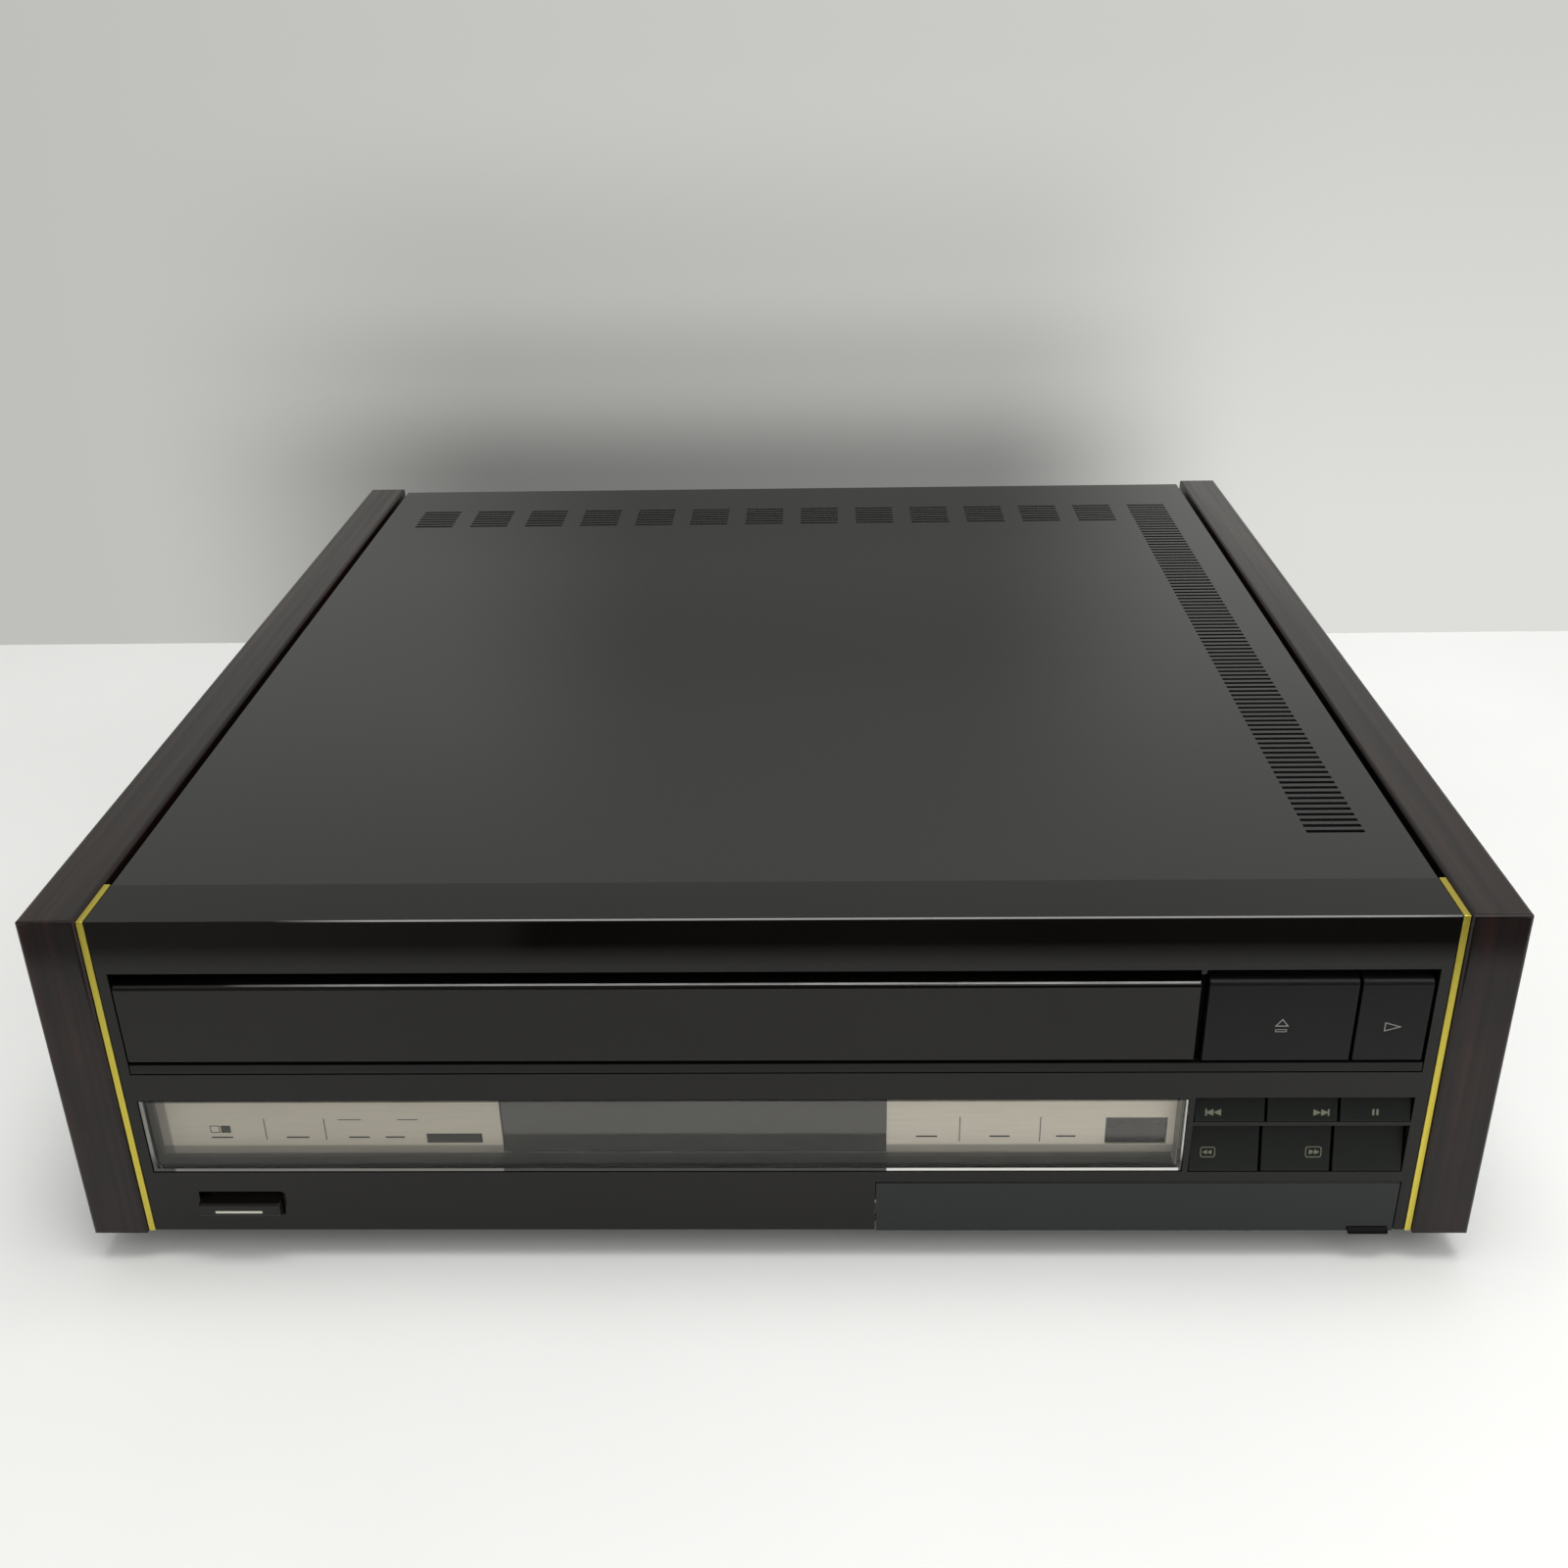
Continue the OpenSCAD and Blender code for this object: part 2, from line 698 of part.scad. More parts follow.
// Moulded front panel with its openings and the walls behind them
module front_panel() {
    low_row = [key_z_low - passing, key_z_low + lower_key_h + passing];
    up_row = [key_z_up - slack, upper_key_z1 + slack];
    bank = [bank_x0 - passing, bank_x1 + passing];
    power_hole_x = [power_x - power_w / 2 - passing, power_x + power_w / 2 + passing];
    power_hole_z = [power_z0 - slack, power_z1 + slack];
    color("#1c1918") in_case() {
        difference() {
            union() {
                span([-panel_x, panel_x], [panel_y, panel_in], [panel_z0, panel_z1]);
                span([-panel_x, panel_x], [panel_y, shelf_y], [panel_z1 - panel_wall, panel_z1]);
                both_sides()
                    span([panel_x - side_wall, panel_x], [panel_y, shelf_y], [base_z1 + slack, panel_z1]);
                sleeve([bay_x0, bay_x1], [bay_z, bay_z1], panel_y + bay_d);
                sleeve([window_x0 - slack, window_x1 + slack], [window_z - slack, window_z1 + slack],
                       backing_y);
                sleeve(bank, low_row, back_wall_y + eps);
                sleeve(bank, up_row, back_wall_y + eps);
                sleeve(power_hole_x, power_hole_z, power_guide_y);
                span([flap_x0 - passing - frame_wall, panel_x], [panel_y, sub_y],
                     [recess_z1, recess_z1 + frame_wall]);
                span([flap_x0 - passing - frame_wall, flap_x0 - passing], [panel_y, sub_y],
                     [panel_z0, recess_z1 + frame_wall]);
                span([flap_x1 + passing, panel_x], [panel_y, sub_y], [panel_z0, recess_z1 + frame_wall]);
                span([-panel_x, flap_x0 - passing], [panel_y, shelf_y],
                     [base_z1 + slack, base_z1 + slack + frame_wall]);
            }
            span([bay_x0, bay_x1], [panel_y - over, shelf_y], [bay_z, bay_z1]);
            span([window_x0 - slack, window_x1 + slack], [panel_y - over, shelf_y],
                 [window_z - slack, window_z1 + slack]);
            span(bank, [panel_y - over, back_wall_y + over], low_row);
            span(bank, [panel_y - over, back_wall_y + over], up_row);
            span(power_hole_x, [panel_y - over, power_guide_y + over], power_hole_z);
            span([flap_x0 - passing, flap_x1 + passing], [panel_y - over, sub_y + over],
                 [panel_z0 - over, recess_z1]);
            for (x = [[flap_x0 - passing - frame_wall - over, flap_x0], [flap_x1, flap_x1 + pin_len + 1.2]])
                bar_x(x, hinge_y, hinge_z, flap_pin_r + run);
            bar_y(power_x, [power_guide_y, shelf_y + over], (power_z0 + power_z1) / 2, power_stem_r + 2);
        }
        // Wall over the tray's path, seen in the gap above its door
        span([bay_x0 - eps, door_x1 + slack + eps], [header_y, header_y + header_t],
             [tray_z1 + 3.3, bay_z1 + eps]);
        // Post between the tray door and the keys
        span([door_x1 + slack, bank_x0 - passing], [panel_in, panel_y + bay_d],
             [ledge_z1 + slack, bay_z1 + eps]);
        // Walls that carry the keys' stems
        difference() {
            union() {
                span([door_x1 + slack, bay_x1 + frame_wall], [back_wall_y, back_wall_y + back_wall_t],
                     [bay_z - frame_wall, bay_z1 + frame_wall]);
                span([bank[0] - frame_wall, bank[1] + frame_wall],
                     [back_wall_y, back_wall_y + back_wall_t],
                     [low_row[0] - frame_wall, up_row[1] + frame_wall]);
            }
            key_holes(bank_x0, open_w, 1, big_key_z + big_key_h / 2);
            key_holes(bank_x1 - play_w, play_w, 1, big_key_z + big_key_h / 2);
            key_holes(bank_x0, small_w, 3, key_z_low + lower_key_h / 2);
            key_holes(bank_x0, small_w, 3, key_z_up + upper_key_h / 2);
        }
    }
}

// Strip along the floor of the tray bay
module bay_ledge() {
    color("#1d1b1a") in_case()
        along_x([bay_x0 + slack, bay_x1 - slack])
            polygon([[panel_y, bay_z + passing], [panel_y, ledge_z1], [door_y1, ledge_z1],
                     [header_y, ledge_z1 - 1.2], [header_y, bay_z + passing]]);
}

// Sheet steel cover, open below, with the vent slots through its top
module top_cover() {
    first_x = column_x - vent_blocks * block_pitch;
    color("#222120") in_case() difference() {
        union() {
            span([-cover_x, cover_x], [cover_y0, cover_y1], [cover_under, cover_z]);
            both_sides() span([cover_x - cover_t, cover_x], [cover_y0, cover_y1], [flange_z, cover_z]);
            span([-cover_x, cover_x], [cover_y1 - cover_t, cover_y1],
                 [cover_under - cover_lip_back, cover_z]);
            span([-cover_x + cover_t, cover_x - cover_t], [cover_y0, cover_y0 + cover_t],
                 [cover_under - cover_lip_front, cover_z]);
        }
        for (k = [0 : column_rows - 1])
            vent(column_x, column_front + k * vent_pitch);
        for (b = [0 : vent_blocks - 1], k = [0 : vent_rows - 1])
            vent(first_x + b * block_pitch, column_front + (column_rows - 1 - k) * vent_pitch);
        for (x = cover_screw_x) bar_y(x, [cover_y1 - 3, cover_y1 + over], cover_screw_z, screw_r + seat);
    }
}
module vent(x, y) {
    span([x - vent_len / 2, x + vent_len / 2], [y, y + vent_slot], [cover_under - over, cover_z + over]);
}

// Steel pan that everything stands on, with a low wall behind the front panel
module chassis() {
    color("#8f9296") in_case() difference() {
        union() {
            span([-base_x, base_x], [base_y0, rear_y - slack - base_t], [base_z0, base_z1]);
            both_sides()
                span([base_x - base_t, base_x], [wall_y, rear_y - slack - base_t], [base_z0, base_wall_h]);
            span([-base_x, base_x], [wall_y, wall_y + base_t], [base_z0, wall_h]);
            for (p = board_posts) bar_z(p[0], p[1], [base_z1 - eps, board_z], post_r);
        }
        for (p = foot_places) bar_z(p[0], p[1], [base_z0 - over, base_z1 + over], foot_screw_r + seat);
        bar_y(power_x, [wall_y - over, wall_y + base_t + over], (power_z0 + power_z1) / 2,
              power_stem_r + 2);
        span([phone_x - phone_body_r - 1, phone_x + phone_body_r + 1],
             [wall_y - over, wall_y + base_t + over],
             [phone_z - phone_body_r - 1, phone_z + phone_body_r + 1]);
        for (x = [bay_x0 + 54 : wall_slot_pitch : knob_x])
            along_y([wall_y - over, wall_y + base_t + over])
                slot_2d([x, wall_h - 14], [x + wall_slot_len, wall_h - 14], 5);
        for (y = [supply_vent_y : floor_vent_pitch : transformer_y - 65])
            along_z([base_z0 - over, base_z1 + over])
                slot_2d([supply_x0 + 4, y], [supply_x0 + 40, y], vent_r);
    }
}

// Back plate with the openings for the sockets, the inlet and three rows of vents
module rear_panel() {
    color("#2a2a2b") in_case() difference() {
        span([-base_x + 1, base_x - 1], [rear_y - base_t, rear_y], [base_z1 + slack, cover_under - slack]);
        along_y([rear_y - base_t - over, rear_y + over]) {
            translate([jack_x - jack_half + 1.5, jack_z - jack_window])
                square([3 * jack_pitch + 2 * jack_half - 3, 2 * jack_window]);
            translate([inlet_x - inlet_w / 2 - inlet_wall - seat, inlet_z - inlet_h / 2 - inlet_wall - seat])
                square([inlet_w + 2 * inlet_wall + 2 * seat, inlet_h + 2 * inlet_wall + 2 * seat]);
            for (x = [-base_x + 57 : rear_vent_pitch : jack_x + 61], z = [66, 80, 94])
                slot_2d([x, z], [x, z + rear_vent_len], vent_r);
        }
        for (x = cover_screw_x) bar_y(x, [rear_y - 3, rear_y + over], cover_screw_z, screw_r + seat);
    }
}

// Turned feet with a chamfered rim and a pocket for the screw
module feet() {
    color("#151515") in_case() for (p = foot_places) translate([p[0], p[1], 0]) difference() {
        union() {
            translate([0, 0, pad_t - foot_h]) cylinder(r1 = foot_r - 2, r2 = foot_r, h = 2);
            translate([0, 0, pad_t - foot_h + 2]) cylinder(r = foot_r, h = foot_h + base_z0 - pad_t - 2);
        }
        translate([0, 0, -foot_h]) cylinder(r = 6, h = foot_h - 3);
        translate([0, 0, -foot_h]) cylinder(r = foot_screw_r + seat, h = foot_h + 2);
        translate([0, 0, -3]) difference() {
            cylinder(r = foot_r - 3, h = 6);
            translate([0, 0, -over]) cylinder(r = 10, h = 8);
        }
    }
}

// Ring pads under the feet
module foot_pads() {
    color("#303030") in_case() for (p = foot_places) translate([p[0], p[1], -foot_h]) difference() {
        cylinder(r = foot_r - 4, h = pad_t);
        translate([0, 0, -over]) cylinder(r = 9, h = pad_t + 2 * over);
    }
}

// Screws of the feet and of the cover's back edge
module case_screws() {
    color("#606064") in_case() {
        for (p = foot_places) {
            bar_z(p[0], p[1], [-5.5, -3], 4);
            bar_z(p[0], p[1], [-3 - eps, base_z1 + 2], foot_screw_r - seat);
        }
        for (x = cover_screw_x) {
            bar_y(x, [cover_y1, cover_y1 + 1.6], cover_screw_z, 2 * screw_r + 0.2);
            bar_y(x, [rear_y - 3, cover_y1 + eps], cover_screw_z, screw_r);
        }
    }
}

// Clear window: a face with a deep rim
module display_window() {
    color("#b9b6b080") in_case() difference() {
        span([window_x0, window_x1], [panel_y + seat, panel_y + window_d], [window_z, window_z1]);
        span([window_x0 + window_rim, window_x1 - window_rim],
             [panel_y + window_wall, panel_y + window_d + over],
             [window_z + window_rim, window_z1 - window_rim]);
    }
}

// Champagne plate behind the window, cut out for the tube and the sensor
module display_backing() {
    color("#c8bca8") in_case() difference() {
        span([window_x0, window_x1], [backing_y, backing_y + backing_t], [window_z, window_z1]);
        span([tube_x - tube_w / 2, tube_x + tube_w / 2], [backing_y - over, backing_y + backing_t + over],
             [window_z + 1, window_z1 - 1]);
        span([sensor_x - sensor_w / 2, sensor_x + sensor_w / 2],
             [backing_y - over, backing_y + backing_t + over], [sensor_z, sensor_z + sensor_h]);
    }
}

// Glass envelope of the fluorescent display, with its sealing nipple
module display_tube() {
    color("#3a3a3e") in_case() {
        span([tube_x - tube_w / 2 - 2, tube_x + tube_w / 2 + 2], [tube_y, tube_y + tube_d],
             [window_z + 1, window_z1 - 1]);
        bar_x([tube_x + tube_w / 2 + 1, tube_x + tube_w / 2 + 7], tube_y + tube_d / 2,
              (window_z + window_z1) / 2, 1.6);
    }
}

// Infrared receiver behind its dark window
module remote_sensor() {
    color("#1a1014") in_case() {
        span([sensor_x - sensor_w / 2 + slack, sensor_x + sensor_w / 2 - slack],
             [backing_y + slack, display_board_y - seat],
             [sensor_z + slack, sensor_z + sensor_h - slack]);
    }
}

// Printed boards behind the front panel, with the key switches
module front_boards() {
    color("#2f5b34") in_case() {
        span([window_x0 + 4, door_x1 - 6], [display_board_y, display_board_y + board_t],
             [window_z + 0.6, window_z1 - 0.6]);
        difference() {
            span([bank_x0, panel_x - side_wall - slack], [board_y, board_y + board_t],
                 [key_z_low - 2, bay_z1]);
            bar_y(bank_x1 - 4, [board_y - over, board_y + board_t + over], bay_z - 4, 1.6);
        }
        for (c = key_centres())
            translate([c[0], 0, c[1]]) {
                span([-switch_half, switch_half], [switch_tip + 1.2, board_y + eps],
                     [-switch_half, switch_half]);
                bar_y(0, [switch_tip, board_y], 0, switch_tip_r);
            }
        span([phone_x + 9, flap_x1 - 6], [sub_board_y, sub_board_y + board_t], [base_z1 + 1, recess_z1]);
        for (i = [0 : 2])
            translate([sub_key_x + i * sub_key_pitch, 0, sub_key_z + sub_key_h / 2])
                span([-switch_half, switch_half],
                     [sub_y + sub_t + 2 + sub_travel + slack, sub_board_y + eps],
                     [-switch_half, switch_half]);
        bar_y(knob_x, [sub_board_y - 6, sub_board_y + eps], knob_z, 7);
    }
}
function key_centres() = concat(
    [[bank_x0 + open_w / 2, big_key_z + big_key_h / 2], [bank_x1 - play_w / 2, big_key_z + big_key_h / 2]],
    [for (i = [0 : 2]) [small_key_x(i) + small_w / 2, key_z_low + lower_key_h / 2]],
    [for (i = [0 : 2]) [small_key_x(i) + small_w / 2, key_z_up + upper_key_h / 2]]);
function small_key_x(i) = bank_x0 + i * (small_w + key_gap);

// Stem of a key, through the wall behind it
module stem(x, z) {
    bar_y(x, [panel_y + key_wall + 0.5, stem_end], z, stem_r);
}

// Section of a piece behind the front face, with its top front edge rounded
module round_top(y1, z, r) {
    translate([panel_y, z[0]]) square([y1 - panel_y, z[1] - z[0] - r]);
    translate([panel_y + r, z[0]]) square([y1 - panel_y - r, z[1] - z[0]]);
    translate([panel_y + r, z[1] - r]) circle(r);
}

// Hollow key with a rounded top edge
module big_key(x0, w) {
    z = [big_key_z, big_key_z + big_key_h];
    color("#1b1f1c") in_case() {
        difference() {
            along_x([x0, x0 + w]) round_top(key_back, z, key_round);
            span([x0 + key_wall, x0 + w - key_wall], [panel_y + key_wall + 1, key_back + over],
                 [z[0] + key_wall, z[1] - key_wall]);
        }
        stem(x0 + w / 2, (z[0] + z[1]) / 2);
    }
}
module open_close_button() {
    big_key(bank_x0, open_w);
}
module play_button() {
    big_key(bank_x1 - play_w, play_w);
}

// Wedge-shaped key: its face leans back towards the top edge
module small_key(i, z0, h, slope) {
    x0 = small_key_x(i);
    color("#1b1f1c") in_case() {
        difference() {
            along_x([x0, x0 + small_w])
                polygon([[panel_y, z0], [panel_y, z0 + 0.6], [panel_y + slope, z0 + h],
                         [key_back, z0 + h], [key_back, z0]]);
            along_x([x0 + key_wall, x0 + small_w - key_wall])
                polygon([[panel_y + key_wall + 0.6, z0 + key_wall],
                         [panel_y + slope + key_wall, z0 + h - key_wall],
                         [key_back + over, z0 + h - key_wall], [key_back + over, z0 + key_wall]]);
        }
        stem(x0 + small_w / 2, z0 + h / 2);
    }
}
module skip_back_button() {
    small_key(0, key_z_up, upper_key_h, upper_slope);
}
module skip_forward_button() {
    small_key(1, key_z_up, upper_key_h, upper_slope);
}
module pause_button() {
    small_key(2, key_z_up, upper_key_h, upper_slope);
}
module scan_back_button() {
    small_key(0, key_z_low, lower_key_h, lower_slope);
}
module scan_forward_button() {
    small_key(1, key_z_low, lower_key_h, lower_slope);
}
module mode_button() {
    small_key(2, key_z_low, lower_key_h, lower_slope);
}

// Power button: a bar that stands out of the panel, undercut below, on a long stem
module power_button() {
    mid = (power_z0 + power_z1) / 2;
    color("#2b2826") in_case() {
        difference() {
            along_x([power_x - power_w / 2, power_x + power_w / 2])
                polygon([[-front_reach, power_face_z0], [-front_reach, power_face_z1 - 0.4],
                         [0.4 - front_reach, power_face_z1], [panel_y, power_z1],
                         [power_back - power_travel, power_z1], [power_back - power_travel, power_z0],
                         [panel_y, power_z0]]);
            span([power_x - power_w / 2 + key_wall, power_x + power_w / 2 - key_wall],
                 [panel_y + 1, power_back], [power_z0 + key_wall, power_z1 - key_wall]);
        }
        bar_y(power_x, [panel_y, power_stem_y], mid, power_stem_r);
    }
}

// Mains switch on the base, pushed by the button's stem
module power_switch() {
    color("#3a3a3a") in_case() {
        span([power_x - 8, power_x + 8], [power_switch_y + 3, power_switch_y + 34],
             [base_z1 + seat, power_z1 + 4]);
        bar_y(power_x, [power_switch_y, power_switch_y + 4], (power_z0 + power_z1) / 2, power_stem_r);
    }
}

// Flap with its hinge lugs, pins and the lip that is pressed to open it
module control_door() {
    color("#1b1a1c") in_case() {
        difference() {
            along_x([flap_x0, flap_x1]) round_rect([panel_y, panel_y + flap_t], [flap_z0, flap_z1], 0.5);
            span([flap_x0 + 3, flap_x1 - 3], [panel_y + 1.8, panel_y + flap_t + over],
                 [flap_z0 + 6, flap_z1 - 2]);
        }
        for (x = [[flap_x0, flap_x0 + lug_w], [flap_x1 - lug_w, flap_x1]]) {
            bar_x(x, hinge_y, hinge_z, lug_r);
            span(x, [panel_y + flap_t - 1, hinge_y], [hinge_z - lug_r, hinge_z + lug_r]);
        }
        bar_x([flap_x0 - passing - pin_len, flap_x0 + eps], hinge_y, hinge_z, flap_pin_r);
        bar_x([flap_x1 - eps, flap_x1 + passing + pin_len], hinge_y, hinge_z, flap_pin_r);
        along_x([flap_x1 - lip_in - lip_w, flap_x1 - lip_in])
            polygon([[panel_y - lip_reach, lip_z], [panel_y - lip_reach, lip_z + lip_h - 0.4],
                     [panel_y - lip_reach + 0.4, lip_z + lip_h], [panel_y + 1, lip_z + lip_h],
                     [panel_y + 1, lip_z]]);
    }
}

// Plate behind the flap, with the holes for the small controls
module control_panel() {
    color("#202022") in_case() difference() {
        span([flap_x0 - passing + slack, flap_x1 + passing - slack], [sub_y, sub_y + sub_t],
             [base_z1 + slack, recess_z1 - slack]);
        bar_y(phone_x, [sub_y - over, sub_y + sub_t + over], phone_z, phone_body_r - 1);
        bar_y(knob_x, [sub_y - over, sub_y + sub_t + over], knob_z, knob_shaft_r + slack);
        for (i = [0 : 2])
            translate([sub_key_x + i * sub_key_pitch, 0, 0])
                span([-slack - sub_key_w / 2, slack + sub_key_w / 2], [sub_y - over, sub_y + sub_t + over],
                     [sub_key_z - slack, sub_key_z + sub_key_h + slack]);
    }
}

// Small key behind the flap, kept in by a rim at its back
module sub_key(i) {
    x = sub_key_x + i * sub_key_pitch;
    z = [sub_key_z, sub_key_z + sub_key_h];
    color("#3b3b3d") in_case() {
        span([x - sub_key_w / 2, x + sub_key_w / 2], [sub_key_front, sub_y + sub_t + 2], z);
        span([x - sub_key_w / 2 - 1, x + sub_key_w / 2 + 1],
             [sub_y + sub_t + slack, sub_y + sub_t + 2], [z[0] - 1, z[1] + 1]);
    }
}
module control_key_1() {
    sub_key(0);
}
module control_key_2() {
    sub_key(1);
}
module control_key_3() {
    sub_key(2);
}

// Level knob with grip flutes and its shaft
module level_knob() {
    color("#2e2e30") in_case() {
        difference() {
            bar_y(knob_x, [knob_front, sub_y - slack], knob_z, knob_r);
            for (a = [0 : 30 : 330])
                bar_y(knob_x + (knob_r + 0.5) * cos(a), [knob_front - over, sub_y - 1.5],
                      knob_z + (knob_r + 0.5) * sin(a), 1);
            span([knob_x - 0.5, knob_x + 0.5], [knob_front - over, knob_front + 0.6],
                 [knob_z + 1.5, knob_z + knob_r + over]);
        }
        bar_y(knob_x, [sub_y - 1, sub_board_y - 6 - slack], knob_z, knob_shaft_r);
    }
}

// Headphone socket
module headphone_jack() {
    color("#4a4a4c") in_case() difference() {
        union() {
            bar_y(phone_x, [sub_y - 2, sub_y - slack], phone_z, phone_body_r + 1);
            bar_y(phone_x, [sub_y - 1, sub_y + 3], phone_z, phone_body_r - 1 - slack);
            span([phone_x - 7, phone_x + 7], [sub_y + sub_t + slack, wall_y - slack],
                 [phone_z - 7, phone_z + 8]);
            bar_y(phone_x, [wall_y - 1, sub_y - 2 + phone_len + 2], phone_z, phone_body_r);
        }
        bar_y(phone_x, [sub_y - 3, sub_y - 2 + phone_len], phone_z, phone_r);
    }
}

// Door on the front of the tray, bevelled along its top
module tray_door() {
    color("#211e1c") in_case() difference() {
        along_x([door_x0, door_x1]) round_top(door_y1, [door_z0, door_z1], door_round);
        for (k = [0 : door_pockets - 1])
            span([door_x0 + door_rib + k * (door_w - door_rib) / door_pockets,
                  door_x0 + (k + 1) * (door_w - door_rib) / door_pockets],
                 [panel_y + 2.6, door_y1 + over], [door_z0 + door_rib, plate_z0 - 6]);
    }
}

// Tray with two wells, a slot open to the back, finger scoops and stiffening ribs
module disc_tray() {
    x = [tray_x - tray_w / 2, tray_x + tray_w / 2];
    color("#2a2a2c") in_case() difference() {
        union() {
            along_z([plate_z0, tray_z1]) round_rect(x, [tray_y0, tray_y1], 3);
            translate([tray_x, spindle_y, 0]) {
                bar_z(0, 0, [well_z - tray_t, tray_z1 - eps], well_r + 2, $fn = 128);
                bar_z(0, 0, [tray_low, tray_z1 - eps], small_well_r + 2, $fn = 128);
                for (p = scoop_places) bar_z(p[0], p[1], [tray_low, tray_z1 - eps], scoop_r + 2);
            }
            span([x[0] + 4, x[1] - 4], [tray_y0, tray_y0 + 2], [tray_low + 1, tray_z1 - eps]);
            translate([tray_x, 0, 0]) both_sides()
                span([slot_half + 2, slot_half + 4], [spindle_y, tray_y1 - 1], [tray_low, tray_z1 - 1]);
        }
        translate([tray_x, spindle_y, 0]) {
            bar_z(0, 0, [well_z, tray_z1 + over], well_r, $fn = 128);
            bar_z(0, 0, [small_well_z, tray_z1 + over], small_well_r, $fn = 128);
            for (p = scoop_places) bar_z(p[0], p[1], [small_well_z, tray_z1 + over], scoop_r);
            bar_z(0, 0, [tray_low - over, tray_z1 + over], slot_half);
        }
        span([tray_x - slot_half, tray_x + slot_half], [spindle_y, tray_y1 + over],
             [tray_low - over, tray_z1 + over]);
    }
}

// Rack under the tray's right side
module tray_rack() {
    color("#d8d4c8") in_case() {
        translate([rack_x, 0, 0]) along_z([rack_z0, rack_z1])
            rack_2d(rack_m, rack_y0, rack_y1, gear_y, -1, 8);
        span([rack_x + 3.4, rack_x + 8], [rack_y0, rack_y1], [rack_z1 - 1, tray_low + 0.4]);
        for (y = [rack_y0 + 1, rack_y1 - 13])
            span([rack_x + 3.4, rack_x + 8], [y, y + 12], [rack_z1 - 1, plate_z0 - seat]);
    }
}

// Grooved rails on legs, one on each side of the tray
module tray_rails() {
    color("#dcd9cf") in_case() translate([tray_x, 0, 0]) both_sides()
        difference() {
            union() {
                span([rail_x, rail_x + rail_w], [rail_y0, tray_y1 + 6], [rail_z0, rail_z1]);
                for (y = rail_foot_y) {
                    span([rail_x + 1, rail_x + rail_w], [y, y + rail_leg], [base_z1 + seat, rail_z0 + eps]);
                    span([rail_x - 6, rail_x + rail_w], [y, y + rail_leg], [base_z1 + seat, base_z1 + 3]);
                }
            }
            span([rail_x - over, rail_x + rail_lap + slack], [rail_y0 - over, tray_y1 + 6 + over],
                 [plate_z0 - slack, tray_z1 + slack]);
        }
}

// Steel bracket that carries the loading gears and the motor
module loading_bracket() {
    z = [bracket_z, bracket_z + bracket_t];
    color("#a9acb0") in_case() {
        difference() {
            union() {
                span([bracket_x0, bracket_x1], [bracket_y0, bracket_y1], z);
                for (x = [bracket_x0, bracket_x1 - bracket_t])
                    span([x, x + bracket_t], [bracket_y0, bracket_y1], [base_z1 + seat, z[1]]);
                span([bracket_x0 - 10, bracket_x0 + eps], [bracket_y0, bracket_y1],
                     [base_z1 + seat, base_z1 + seat + bracket_t]);
                span([bracket_x1 - 12, bracket_x1], [bracket_y0, bracket_y1],
                     [base_z1 + seat, base_z1 + seat + bracket_t]);
            }
            bar_z(motor_x, motor_y, [z[0] - over, z[1] + over], 4.5);
        }
        bar_z(gear_x, gear_y, [z[0], rack_z1 + 0.4], gear_pin_r);
        bar_z(wheel_x, wheel_y, [z[0], step_z1 + 1.6], wheel_pin_r);
    }
}

// Motor under the bracket
module loading_motor() {
    color("#c4c6c8") in_case() difference() {
        union() {
            bar_z(motor_x, motor_y, [bracket_z - seat - motor_len, bracket_z - seat], motor_r);
            bar_z(motor_x, motor_y, [bracket_z - 1, bracket_z + bracket_t + 0.4], 4.2);
        }
        bar_z(motor_x, motor_y, [bracket_z - 6, bracket_z + bracket_t + over], motor_shaft_r + run);
    }
}

// Motor shaft with its pulley
module motor_pulley() {
    z0 = belt_z - groove_h / 2 - flange_h;
    color("#d8b25a") in_case() {
        translate([motor_x, motor_y, z0]) pulley(z0, pulley_r);
        bar_z(motor_x, motor_y, [bracket_z - 5, z0 + eps], motor_shaft_r);
    }
}

// Belt round both pulleys: two arcs joined by the outer tangents
function belt_points(r1, r2, d) =
    let (b = acos((r1 - r2) / d))
    concat([for (i = [0 : 40]) polar(r1, b + i * (360 - 2 * b) / 40)],
           [for (i = [0 : 20]) [d, 0] + polar(r2, (i / 10 - 1) * b)]);
module drive_belt() {
    reach = [motor_x - wheel_x, motor_y - wheel_y];
    inner = [wheel_r + slack, pulley_r + slack];
    color("#18181a") in_case() along_z([belt_z - belt_h / 2, belt_z + belt_h / 2])
        translate([wheel_x, wheel_y]) rotate(atan2(reach[1], reach[0])) difference() {
            polygon(belt_points(inner[0] + belt_t, inner[1] + belt_t, norm(reach)));
            polygon(belt_points(inner[0], inner[1], norm(reach)));
        }
}

// Belt wheel with its small gear
module belt_wheel() {
    z0 = belt_z - groove_h / 2 - flange_h;
    color("#e4e0d4") in_case() difference() {
        union() {
            translate([wheel_x, wheel_y, z0]) pulley(z0, wheel_r);
            translate([wheel_x, wheel_y, 0]) along_z([z0 + 1, step_z1 + 0.5])
                gear_2d(small_teeth, step_m,
                        mesh_angle(0, step_teeth, small_teeth, train_angle));
        }
        bar_z(wheel_x, wheel_y, [z0 - over, step_z1 + 2], wheel_pin_r + run);
        for (a = [0 : 60 : 300])
            bar_z(wheel_x + 17 * cos(a), wheel_y + 17 * sin(a), [z0 - over, step_z0 + 2], 5);
    }
}

